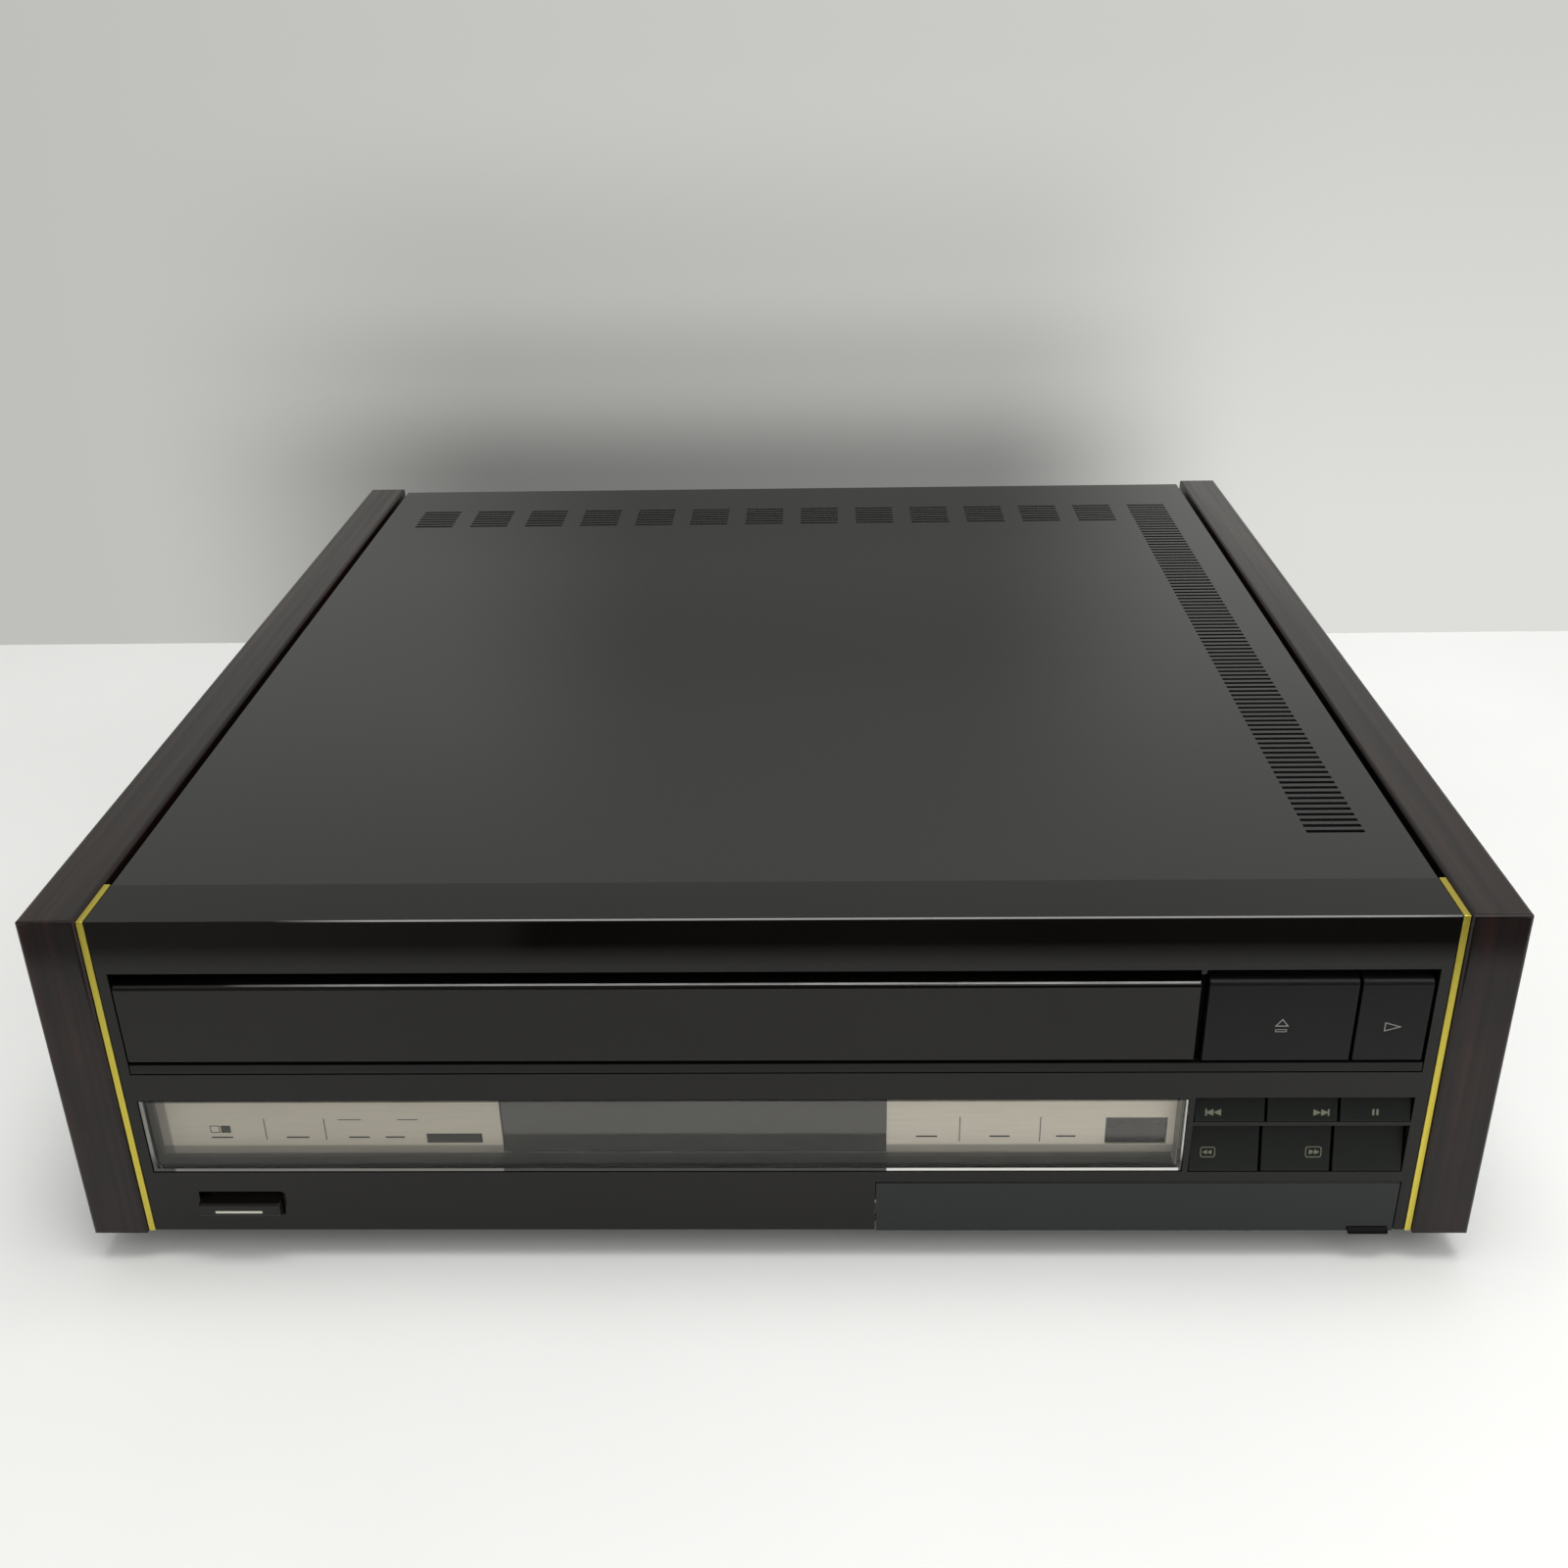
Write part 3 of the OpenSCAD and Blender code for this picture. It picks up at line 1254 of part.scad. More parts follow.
// Gear that turns on the first pin: its pinion drives the rack
module rack_gear() {
    color("#e4e0d4") in_case() difference() {
        translate([gear_x, gear_y, 0]) {
            along_z([step_z0, step_z1]) difference() {
                gear_2d(step_teeth, step_m, 0);
                for (a = [30 : 60 : 330]) translate(polar(21, a)) circle(6);
            }
            along_z([rack_z0 + slack, rack_z1 - slack]) gear_2d(pinion_teeth, rack_m, 0);
            bar_z(0, 0, [bracket_z + bracket_t + slack, rack_z1 - slack], gear_pin_r + 4);
        }
        bar_z(gear_x, gear_y, [bracket_z, rack_z1 + over], gear_pin_r + run);
    }
}

// Pressed steel deck that carries the spindle and the pickup, and drops to load a disc
module deck() {
    z = [deck_z, deck_z + deck_t];
    color("#b4b7ba") in_case() translate([tray_x, 0, 0]) {
        difference() {
            union() {
                span([-deck_half, deck_half], [deck_y0, deck_y1], z);
                both_sides() {
                    span([deck_half - deck_wall, deck_half], [deck_y0, deck_y1],
                         [deck_z, deck_z + deck_flange_h]);
                    for (y = lift_pin_y)
                        bar_x([deck_half - over, deck_half + lift_pin_len], y, lift_pin_z, lift_pin_r);
                    for (y = [rod_y0, rod_y1 - rod_block])
                        span([rod_half - rod_block, rod_half + rod_block], [y, y + rod_block],
                             [deck_z, rod_z + rod_r + 3]);
                }
                bar_z(feed_x - tray_x, feed_y, [deck_z, feed_rack_z + 6], feed_pin_r);
            }
            both_sides() bar_y(rod_half, [rod_y0 - over, rod_y1 + over], rod_z, rod_r + run);
            bar_z(feed_x - tray_x, feed_motor_y, [z[0] - over, z[1] + over], 4);
            along_z([z[0] - over, z[1] + over])
                round_rect([4 - rod_half, rod_half - 8], [spindle_y + 50, deck_y1 - 20], 6);
        }
    }
}

// Spindle motor on the deck
module spindle_motor() {
    color("#9a9da1") in_case() difference() {
        union() {
            bar_z(tray_x, spindle_y, [deck_z + deck_t + seat, motor_top - 3], spindle_motor_r);
            bar_z(tray_x, spindle_y, [motor_top - 4, motor_top], spindle_motor_r - 4);
        }
        bar_z(tray_x, spindle_y, [deck_z + deck_t + 4, motor_top + over], spindle_r + run);
    }
}

// Turntable with its shaft, rubber ring seat and centring cone
module turntable() {
    color("#707377") in_case() translate([tray_x, spindle_y, 0]) {
        bar_z(0, 0, [deck_z + deck_t + 5, motor_top + 2], spindle_r);
        difference() {
            union() {
                bar_z(0, 0, [motor_top + slack, disc_z - 4], 10);
                bar_z(0, 0, [disc_z - 5, disc_z - 1], table_r);
                bar_z(0, 0, [disc_z - 1 - eps, disc_z], table_r - 1);
                translate([0, 0, disc_z - eps]) cylinder(r1 = cone_r, r2 = cone_r - 5, h = 5.5);
            }
            difference() {
                bar_z(0, 0, [disc_z - 0.6, disc_z + over], table_r - 14);
                bar_z(0, 0, [disc_z - 1, disc_z + 2], cone_r + 1.5);
            }
            bar_z(0, 0, [disc_z + 2, disc_z + 8], 7);
        }
    }
}

// Clamper that rests in the arm's ring and presses the disc on the turntable
module clamper() {
    color("#2f3033") in_case() translate([tray_x, spindle_y, 0]) difference() {
        union() {
            bar_z(0, 0, [clamp_z, clamp_z + 5.2], clamper_r);
            bar_z(0, 0, [clamp_z + 5, arm_z + arm_t + 1], clamp_hub_r);
            bar_z(0, 0, [arm_z + arm_t + 0.5, arm_z + arm_t + 2.5], clamp_hub_r + 6);
        }
        bar_z(0, 0, [clamp_z - over, clamp_z + 3.4], cone_r + 1);
        difference() {
            bar_z(0, 0, [clamp_z - over, clamp_z + 1.2], clamper_r - 3);
            bar_z(0, 0, [clamp_z - 2, clamp_z + 2], cone_r + 4);
        }
    }
}

// Arm over the tray, with ribs, a ring for the clamper and its hinge pins at the back
module clamp_arm() {
    ring_r = clamper_r - 4;
    color("#a9acb0") in_case() translate([tray_x, 0, 0]) {
        difference() {
            union() {
                along_z([arm_z, arm_z + arm_t]) {
                    translate([0, spindle_y]) circle(ring_r);
                    polygon([[-ring_r, spindle_y], [ring_r, spindle_y], [arm_half, arm_y1 + 2],
                             [-arm_half, arm_y1 + 2]]);
                }
                both_sides() along_z([arm_z, arm_z + arm_t + arm_rib])
                    polygon([[ring_r, spindle_y], [ring_r - arm_t, spindle_y],
                             [arm_half - arm_t, arm_y1 + 2], [arm_half, arm_y1 + 2]]);
                bar_x([-arm_half, arm_half], arm_y1, arm_pin_z, 5);
                bar_x([-arm_half - 8, arm_half + 8], arm_y1, arm_pin_z, arm_pin_r);
            }
            bar_z(0, spindle_y, [arm_z - over, arm_z + arm_t + over], clamp_hub_r + 0.5);
            along_z([arm_z - over, arm_z + arm_t + over])
                round_rect([-12, 12], [spindle_y + 45, arm_y1 - 40], 8);
        }
    }
}

// Portal behind the tray that holds the arm's hinge
module clamp_bridge() {
    y = [arm_y1 + 7, arm_y1 + 7 + bridge_t];
    ear = [arm_half + 0.8, arm_half + 3.8];
    color("#a9acb0") in_case() translate([tray_x, 0, 0]) difference() {
        union() {
            span([-bridge_half, bridge_half], y, [arm_pin_z - 16, bridge_z1]);
            span([-bridge_half, bridge_half], [y[0], y[1] + 8], [bridge_z1 - bridge_t, bridge_z1]);
            both_sides() {
                span([bridge_half - bridge_leg, bridge_half], y, [base_z1 + seat, bridge_z1]);
                span([bridge_half - bridge_leg, bridge_half], [y[0], y[1] + 10],
                     [base_z1 + seat, base_z1 + seat + bridge_t]);
                span(ear, [arm_y1 - 4, y[0] + eps], [arm_pin_z - 5, arm_pin_z + 5]);
            }
        }
        both_sides() bar_x([ear[0] - over, ear[1] + over], arm_y1, arm_pin_z, arm_pin_r + run);
    }
}

// Guide rods of the pickup
module guide_rods() {
    color("#d5d8da") in_case() translate([tray_x, 0, 0])
        both_sides() bar_y(rod_half, [rod_y0 + 0.5, rod_y1 - 0.5], rod_z, rod_r);
}

// Pickup on the rods: cast body, lens tower, lens and feed rack
module pickup_carriage() {
    y = [carriage_y0, carriage_y0 + carriage_len];
    color("#55585c") in_case() {
        translate([tray_x, 0, 0]) difference() {
            union() {
                span([-rod_half - 7, rod_half + 7], y, [carriage_z0, rod_z + 6]);
                span([-22, 22], [y[0], y[1] - 6], [rod_z, carriage_z1]);
                bar_z(0, lens_y, [carriage_z1 - 1, lens_z - 3.4], 9);
                bar_z(0, lens_y, [lens_z - 4, lens_z - 1], lens_r + 1.2);
                bar_z(0, lens_y, [lens_z - 1.5, lens_z], lens_r);
            }
            both_sides() {
                bar_y(rod_half, [y[0] - over, y[1] + over], rod_z, rod_r + run);
                span([26, rod_half - 6], [y[0] + 5, y[1] - 5], [carriage_z0 - over, rod_z + 7]);
            }
        }
        translate([feed_rack_x, 0, 0]) along_z([feed_rack_z - 1.5, feed_rack_z + 1.5])
            rack_2d(feed_m, feed_rack_y0, feed_rack_y1, feed_y, 1, 5.5);
    }
}

// Feed motor under the deck
module feed_motor() {
    color("#c4c6c8") in_case() difference() {
        union() {
            bar_z(feed_x, feed_motor_y, [deck_z - seat - feed_can_len, deck_z - seat], feed_can_r);
            bar_z(feed_x, feed_motor_y, [deck_z - 1, deck_z + deck_t], 3.6);
        }
        bar_z(feed_x, feed_motor_y, [deck_z - 6, deck_z + deck_t + over], 1 + run);
    }
}

// Shaft and pinion of the feed motor
module feed_pinion() {
    at = mesh_angle(0, feed_wheel_teeth, feed_motor_teeth, -90);
    color("#d8b25a") in_case() {
        translate([feed_x, feed_motor_y, 0]) along_z([feed_wheel_z - 0.5, feed_wheel_z + 4])
            gear_2d(feed_motor_teeth, feed_m, at);
        bar_z(feed_x, feed_motor_y, [deck_z - 5, feed_wheel_z], 1);
    }
}

// Feed gear: wheel for the motor, pinion for the rack
module feed_gear() {
    color("#e4e0d4") in_case() difference() {
        translate([feed_x, feed_y, 0]) {
            along_z([feed_wheel_z, feed_wheel_z + 3]) gear_2d(feed_wheel_teeth, feed_m, 0);
            along_z([feed_wheel_z + 1, feed_rack_z + 2]) gear_2d(feed_pinion_teeth, feed_m, 180);
            bar_z(0, 0, [deck_z + deck_t + slack, feed_wheel_z + 1], 4);
        }
        bar_z(feed_x, feed_y, [deck_z, feed_rack_z + 5], feed_pin_r + run);
    }
}

// Fixed plates with upright slots that guide the deck's pins
module lift_brackets() {
    top = lift_pin_z + 7;
    color("#8f9296") in_case() translate([tray_x, 0, 0]) both_sides()
        difference() {
            union() {
                for (y = lift_pin_y) {
                    span([lift_x, lift_x + bracket_wall], [y - 16, y + 16], [base_z1 + seat, top]);
                    span([lift_x, slider_x + bracket_wall + 8], [y - 16, y + 16],
                         [base_z1 + seat, base_z1 + seat + 1.5]);
                }
            }
            for (y = lift_pin_y)
                along_x([lift_x - over, lift_x + bracket_wall + over])
                    slot_2d([y, lift_pin_z - lift_drop - 0.5], [y, lift_pin_z + 0.5], lift_slot_r);
        }
}

// Slider: two plates with slanted slots, joined by a bar under the deck
module lift_slider() {
    color("#b9a36a") in_case() translate([tray_x, 0, 0]) {
        both_sides() difference() {
            span([slider_x, slider_x + bracket_wall], [slider_bar_y, deck_y1 + 4], [slider_z0, slider_z1]);
            for (y = lift_pin_y)
                along_x([slider_x - over, slider_x + bracket_wall + over])
                    slot_2d([y - 1, lift_pin_z + lift_slope],
                            [y + slider_travel + 1, lift_pin_z - lift_drop - lift_slope], lift_slot_r);
        }
        span([-slider_x - bracket_wall, slider_x + bracket_wall], [slider_bar_y - 4, slider_bar_y + eps],
             [slider_z0, slider_z0 + 6]);
    }
}

// Signal board on posts at the left, with its chips, cans and sockets' ribbon
module main_board() {
    z = board_z + seat;
    top = z + board_t;
    x = [board_x0, board_x1];
    color("#2f5b34") in_case() {
        span(x, [board_y0, board_y1], [z, top]);
        for (y = [board_y0 + 24 : chip_pitch : board_y1 - 1.5 * chip_len])
            span([x[0] + 16, x[0] + 30], [y, y + chip_len], [top - eps, top + 4]);
        for (y = [board_y0 + 24 : can_pitch : board_y1 - 15])
            bar_z(x[1] - 12, y, [top - eps, top + 14], 5);
    }
}

// Supply board with its cans, heat sink and the transformer at the back
module power_supply() {
    x = [supply_x0, base_x - base_t - 4];
    z = [base_z1 + 4, base_z1 + 4 + board_t];
    mid = (x[0] + x[1]) / 2;
    color("#6d5f3c") in_case() {
        span(x, [supply_y0, supply_y1], z);
        for (y = [supply_y0 + 4, supply_y1 - 8])
            for (u = [x[0] + 4, x[1] - 4]) bar_z(u, y, [base_z1 + seat, z[1]], 2.5);
        for (k = [0 : 2])
            bar_z(x[0] + can_r + 2.5 + supply_can_pitch * k, supply_y0 + 30, [z[1] - eps, z[1] + can_h],
                  can_r);
        for (k = [0 : sink_fins - 1])
            span([x[0] + 8, x[1] - 8], [sink_y + sink_pitch * k, sink_y + sink_pitch * k + 2],
                 [z[1] + 2, z[1] + can_h + 2]);
        span([x[0] + 8, x[1] - 8], [sink_y, sink_y + sink_pitch * (sink_fins - 1) + 2],
             [z[1] - eps, z[1] + 3]);
        span([mid - core_w / 2, mid + core_w / 2], [transformer_y, transformer_y + core_d],
             [base_z1 + seat, base_z1 + core_h]);
        span([mid - coil_w / 2, mid + coil_w / 2],
             [transformer_y - coil_out, transformer_y + core_d + coil_out],
             [base_z1 + coil_rise, base_z1 + core_h - coil_rise]);
    }
}

// Sockets in a row: three coaxial ones and a small one, each on its own square body
module rear_jacks() {
    color("#c9b26a") in_case() for (k = [0 : 3]) translate([jack_x + k * jack_pitch, 0, jack_z])
        difference() {
            union() {
                span([-jack_half, jack_half], [jack_face - jack_body, jack_face], [-jack_half, jack_half]);
                bar_y(0, [jack_face - 1, rear_y + jack_reach], 0, jack_r);
                bar_y(0, [jack_face - 1, rear_y + 1.4], 0, jack_r + 2.4);
            }
            bar_y(0, [rear_y - (k < 3 ? 3 : 8), rear_y + jack_reach + over], 0,
                  k < 3 ? jack_hole_r : mini_hole_r);
        }
}

// Mains inlet with two round contacts
module ac_inlet() {
    color("#141414") in_case() {
        difference() {
            union() {
                span([inlet_x - inlet_w / 2 - inlet_wall, inlet_x + inlet_w / 2 + inlet_wall],
                     [rear_y - inlet_d - 3, rear_y + 1],
                     [inlet_z - inlet_h / 2 - inlet_wall, inlet_z + inlet_h / 2 + inlet_wall]);
                span([inlet_x - inlet_w / 2 - 4, inlet_x + inlet_w / 2 + 4], [rear_y + seat, rear_y + 2],
                     [inlet_z - inlet_h / 2 - 4, inlet_z + inlet_h / 2 + 4]);
            }
            along_y([rear_y + 2 - inlet_d, rear_y + 3])
                round_rect([inlet_x - inlet_w / 2, inlet_x + inlet_w / 2],
                           [inlet_z - inlet_h / 2, inlet_z + inlet_h / 2], 2.5);
        }
        for (s = [-1, 1])
            bar_y(inlet_x + s * 4.3, [rear_y + 1 - inlet_d, rear_y - 1], inlet_z, 1.2);
    }
}

wood_panel_left();
wood_panel_right();
gold_trims();
front_panel();
bay_ledge();
top_cover();
chassis();
rear_panel();
feet();
foot_pads();
case_screws();
display_window();
display_backing();
display_tube();
remote_sensor();
front_boards();
open_close_button();
play_button();
skip_back_button();
skip_forward_button();
pause_button();
scan_back_button();
scan_forward_button();
mode_button();
power_button();
power_switch();
control_door();
control_panel();
control_key_1();
control_key_2();
control_key_3();
level_knob();
headphone_jack();
tray_door();
disc_tray();
tray_rack();
tray_rails();
loading_bracket();
loading_motor();
motor_pulley();
drive_belt();
belt_wheel();
rack_gear();
deck();
spindle_motor();
turntable();
clamper();
clamp_arm();
clamp_bridge();
guide_rods();
pickup_carriage();
feed_motor();
feed_pinion();
feed_gear();
lift_brackets();
lift_slider();
main_board();
power_supply();
rear_jacks();
ac_inlet();
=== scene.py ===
import json
from math import atan2, pi, radians

import bpy
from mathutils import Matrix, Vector

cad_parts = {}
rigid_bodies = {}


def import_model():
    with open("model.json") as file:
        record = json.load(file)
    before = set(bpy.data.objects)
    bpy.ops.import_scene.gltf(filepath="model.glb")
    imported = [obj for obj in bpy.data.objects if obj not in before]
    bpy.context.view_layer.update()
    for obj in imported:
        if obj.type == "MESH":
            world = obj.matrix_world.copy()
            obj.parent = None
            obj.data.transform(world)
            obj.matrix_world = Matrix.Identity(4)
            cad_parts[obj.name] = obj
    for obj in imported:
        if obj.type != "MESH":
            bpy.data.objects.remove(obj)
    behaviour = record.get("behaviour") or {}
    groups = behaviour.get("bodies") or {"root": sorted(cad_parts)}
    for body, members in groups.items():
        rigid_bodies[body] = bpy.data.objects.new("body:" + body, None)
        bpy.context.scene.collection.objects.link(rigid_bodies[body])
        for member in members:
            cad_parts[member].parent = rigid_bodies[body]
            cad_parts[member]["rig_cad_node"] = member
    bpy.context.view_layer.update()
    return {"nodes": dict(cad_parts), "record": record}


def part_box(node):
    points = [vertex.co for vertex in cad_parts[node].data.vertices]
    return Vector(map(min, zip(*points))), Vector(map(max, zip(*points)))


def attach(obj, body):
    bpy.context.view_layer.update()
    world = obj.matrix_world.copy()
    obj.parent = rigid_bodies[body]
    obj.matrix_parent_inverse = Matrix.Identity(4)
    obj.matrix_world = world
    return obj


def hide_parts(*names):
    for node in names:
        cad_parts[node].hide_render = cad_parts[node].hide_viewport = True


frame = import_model()
mm = 0.001                              # the pieces' sizes are in millimetres, the stage's in metres
caseMid = 227.25                        # the case's front edge lies this far before the middle of its depth
footHeight = 11.0                       # the case's lower edge above the floor
faceY = 1.5                             # the front face stands this far behind the wooden panels' front edge
onPlane = 0.1                           # a point this close to a plane counts as lying on it
record = frame["record"]
bodyOf = {node: body for body, nodes in record["behaviour"]["bodies"].items() for node in nodes}
slotOf = {part["node"]: part["material_slot"] for part in record["subparts"]}


def deselectAll():
    if bpy.context.object and bpy.context.object.mode != "OBJECT":
        bpy.ops.object.mode_set(mode="OBJECT")
    bpy.ops.object.select_all(action="DESELECT")


def activate(piece):
    deselectAll()
    piece.select_set(True)
    bpy.context.view_layer.objects.active = piece


def editMode(kind="VERT"):
    bpy.context.tool_settings.mesh_select_mode = [kind == each for each in ("VERT", "EDGE", "FACE")]
    bpy.ops.object.mode_set(mode="EDIT")


def objectMode():
    bpy.ops.object.mode_set(mode="OBJECT")


def pick(piece, kind, wanted):
    activate(piece)
    editMode(kind)
    bpy.ops.mesh.select_all(action="DESELECT")
    objectMode()
    parts = {"VERT": piece.data.vertices, "EDGE": piece.data.edges, "FACE": piece.data.polygons}[kind]
    chosen = [part for part in parts if wanted(part)]
    for part in chosen:
        part.select = True
    editMode(kind)
    return len(chosen)


def movePoints(piece, wanted, across=0.0, out=0.0, up=0.0):
    count = pick(piece, "VERT", wanted)
    bpy.ops.transform.translate(value=(across * mm, out * mm, up * mm))
    objectMode()
    return count


def nearTo(value, place, size=0.06):
    return abs(value - place) < size


def between(value, ends):
    return ends[0] < value < ends[1]


# Places measured from the case's lower front edge, turned into the frame's metres
def acrossAt(places):
    return [x * mm for x in places]


def depthAt(places):
    return [(y - caseMid) * mm for y in places]


def heightAt(places):
    return [(z + footHeight) * mm for z in places]


def atFront(x, z, y=0.0):
    return Vector((x, y - caseMid, z + footHeight)) * mm


# Materials: every pattern reads Object coordinates
def grey(value):
    return (value,) * 3


def startMaterial(name, look):
    material = bpy.data.materials.new(name)
    material.use_nodes = True
    shader = material.node_tree.nodes["Principled BSDF"]
    for socket, value in look.items():
        shader.inputs[socket].default_value = value
    return material, material.node_tree, shader


def objectPlace(tree, stretch=(1, 1, 1), turn=(0, 0, 0)):
    place = tree.nodes.new("ShaderNodeTexCoord")
    mapping = tree.nodes.new("ShaderNodeMapping")
    mapping.inputs["Scale"].default_value = stretch
    mapping.inputs["Rotation"].default_value = turn
    tree.links.new(place.outputs["Object"], mapping.inputs["Vector"])
    return mapping.outputs["Vector"]


def placeParts(tree):
    parts = tree.nodes.new("ShaderNodeSeparateXYZ")
    tree.links.new(objectPlace(tree), parts.inputs["Vector"])
    return parts.outputs


def noiseOn(tree, scale, detail=3.0, stretch=(1, 1, 1), turn=(0, 0, 0)):
    noise = tree.nodes.new("ShaderNodeTexNoise")
    noise.inputs["Scale"].default_value = scale
    noise.inputs["Detail"].default_value = detail
    tree.links.new(objectPlace(tree, stretch, turn), noise.inputs["Vector"])
    return noise.outputs["Fac"]


def tones(tree, factor, stops):
    ramp = tree.nodes.new("ShaderNodeValToRGB")
    points = ramp.color_ramp.elements
    for point, (place, colour) in zip((points[0], points[-1]), (stops[0], stops[-1])):
        point.position = place
        point.color = (*colour, 1)
    for place, colour in stops[1:-1]:
        points.new(place).color = (*colour, 1)
    tree.links.new(factor, ramp.inputs["Fac"])
    return ramp.outputs["Color"]


def twoTones(tree, factor, first, second, start=0.3, end=0.7):
    return tones(tree, factor, [(start, first), (end, second)])


def span(tree, factor, low, high, start=0.3, end=0.7):
    node = tree.nodes.new("ShaderNodeMapRange")
    for socket, value in zip(("From Min", "From Max", "To Min", "To Max"), (start, end, low, high)):
        node.inputs[socket].default_value = value
    tree.links.new(factor, node.inputs["Value"])
    return node.outputs["Result"]


def mixNumbers(tree, factor, first, second):
    node = tree.nodes.new("ShaderNodeMix")
    for socket, value in zip((0, 2, 3), (factor, first, second)):
        tree.links.new(value, node.inputs[socket])
    return node.outputs[0]


def mixColours(tree, factor, first, second, how="MIX"):
    node = tree.nodes.new("ShaderNodeMix")
    node.data_type = "RGBA"
    node.blend_type = how
    for socket, value in ((node.inputs[0], factor), (node.inputs[6], first), (node.inputs[7], second)):
        if isinstance(value, (tuple, float)):
            socket.default_value = (*value, 1) if isinstance(value, tuple) else value
        else:
            tree.links.new(value, socket)
    return node.outputs[2]


def changeOver(tree, source, ends, first, second):
    return mixColours(tree, span(tree, source, 0, 1, *ends), first, second)


def multiply(tree, first, second, share=1.0):
    return mixColours(tree, share, first, second, "MULTIPLY")


def within(tree, source, low, high, soft=0.05):
    return multiply(tree, span(tree, source, 0, 1, low, low + soft * mm),
                    span(tree, source, 1, 0, high - soft * mm, high))


def steps(tree, source, stops):
    low, high = stops[0][0], stops[-1][0]
    ramp = tones(tree, span(tree, source, 0, 1, low, high),
                 [((place - low) / (high - low), grey(value)) for place, value in stops])
    ramp.node.color_ramp.interpolation = "EASE"
    return ramp


# A painted highlight: a thin light line in the base colour along an edge, lit over a stretch across
def paintedEdgeHighlight(tree, places, high, front, lit, soft=30):
    corner = multiply(tree, span(tree, places["Z"], 0, 1, *high), span(tree, places["Y"], 1, 0, *front))
    return multiply(tree, corner, within(tree, places["X"], *acrossAt(lit), soft))


def relief(tree, shader, height, strength, depth):
    bump = tree.nodes.new("ShaderNodeBump")
    bump.inputs["Strength"].default_value = strength
    bump.inputs["Distance"].default_value = depth * mm
    tree.links.new(height, bump.inputs["Height"])
    tree.links.new(bump.outputs["Normal"], shader.inputs["Normal"])


def setColour(tree, shader, colour):
    tree.links.new(colour, shader.inputs["Base Color"])


def setRough(tree, shader, roughness):
    tree.links.new(roughness, shader.inputs["Roughness"])


rosewood = {"darkest": (0.0045, 0.0030, 0.0029), "dark": (0.0085, 0.0050, 0.0046),
            "mid": (0.0135, 0.0066, 0.0056), "light": (0.0225, 0.0100, 0.0080), "grainWidth": 420,
            "grainLength": 5, "lacquer": 0.46, "sheen": 0.1, "rough": (0.42, 0.26), "outward": (0.55, 0.85),
            "bandGrain": (60, 3, 40), "bandDark": (0.55, 0.55, 0.6), "bandLight": (1.15, 1.1, 1.05),
            "bandShare": 0.8}


def makeRosewood():
    material, tree, shader = startMaterial("rosewood_gloss", {
        "Coat Weight": rosewood["lacquer"], "Coat Roughness": 0.08, "IOR": 1.5,
        "Specular IOR Level": rosewood["sheen"]})
    fine, long = rosewood["grainWidth"], rosewood["grainLength"]
    topGrain = noiseOn(tree, 1.0, 6, (fine, long, long))    # streaks along the depth, upright on the front
    sideGrain = noiseOn(tree, 1.0, 6, (long, long, fine))   # the outer face is cut flat
    facing = tree.nodes.new("ShaderNodeTexCoord")
    parts = tree.nodes.new("ShaderNodeSeparateXYZ")
    sideways = tree.nodes.new("ShaderNodeMath")
    sideways.operation = "ABSOLUTE"
    tree.links.new(facing.outputs["Normal"], parts.inputs["Vector"])
    tree.links.new(parts.outputs["X"], sideways.inputs[0])
    onSide = span(tree, sideways.outputs[0], 0, 1, *rosewood["outward"])
    grain = mixNumbers(tree, onSide, topGrain, sideGrain)
    colour = tones(tree, grain, [(0.30, rosewood["darkest"]), (0.43, rosewood["dark"]),
                                 (0.55, rosewood["mid"]), (0.70, rosewood["light"])])
    bands = twoTones(tree, noiseOn(tree, 1.0, 2, rosewood["bandGrain"]), rosewood["bandDark"],
                     rosewood["bandLight"], 0.35, 0.65)
    setColour(tree, shader, multiply(tree, colour, bands, rosewood["bandShare"]))
    setRough(tree, shader, span(tree, grain, *rosewood["rough"]))
    relief(tree, shader, grain, 0.10, 0.04)
    return material


goldStrip = {"shade": (0.52, 0.42, 0.058), "bright": (0.68, 0.58, 0.105), "brush": 900, "rough": (0.26, 0.38)}


def makeGoldStrip():
    material, tree, shader = startMaterial("gold_strip", {"Metallic": 1.0})
    brush = noiseOn(tree, 1.0, 3, (goldStrip["brush"], 8, 8))
    setColour(tree, shader, twoTones(tree, brush, goldStrip["shade"], goldStrip["bright"]))
    setRough(tree, shader, span(tree, brush, *goldStrip["rough"]))
    relief(tree, shader, brush, 0.08, 0.02)
    return material


# front_gloss carries painted shade on the post between door and key, and a painted highlight along the shelf's
# front edge
frontGloss = {"dark": (0.0036, 0.0030, 0.0026), "light": (0.0050, 0.0042, 0.0038), "rough": (0.015, 0.03),
              "shine": 0.40, "post": grey(0.0006), "postShine": 0.02, "aboveDoor": 1.3,
              "highlightHigh": (0.40, 0.35), "highlightDeep": (0.4, 0.5), "lit": (-150, 225), "line": (0.29, 0.29, 0.275)}


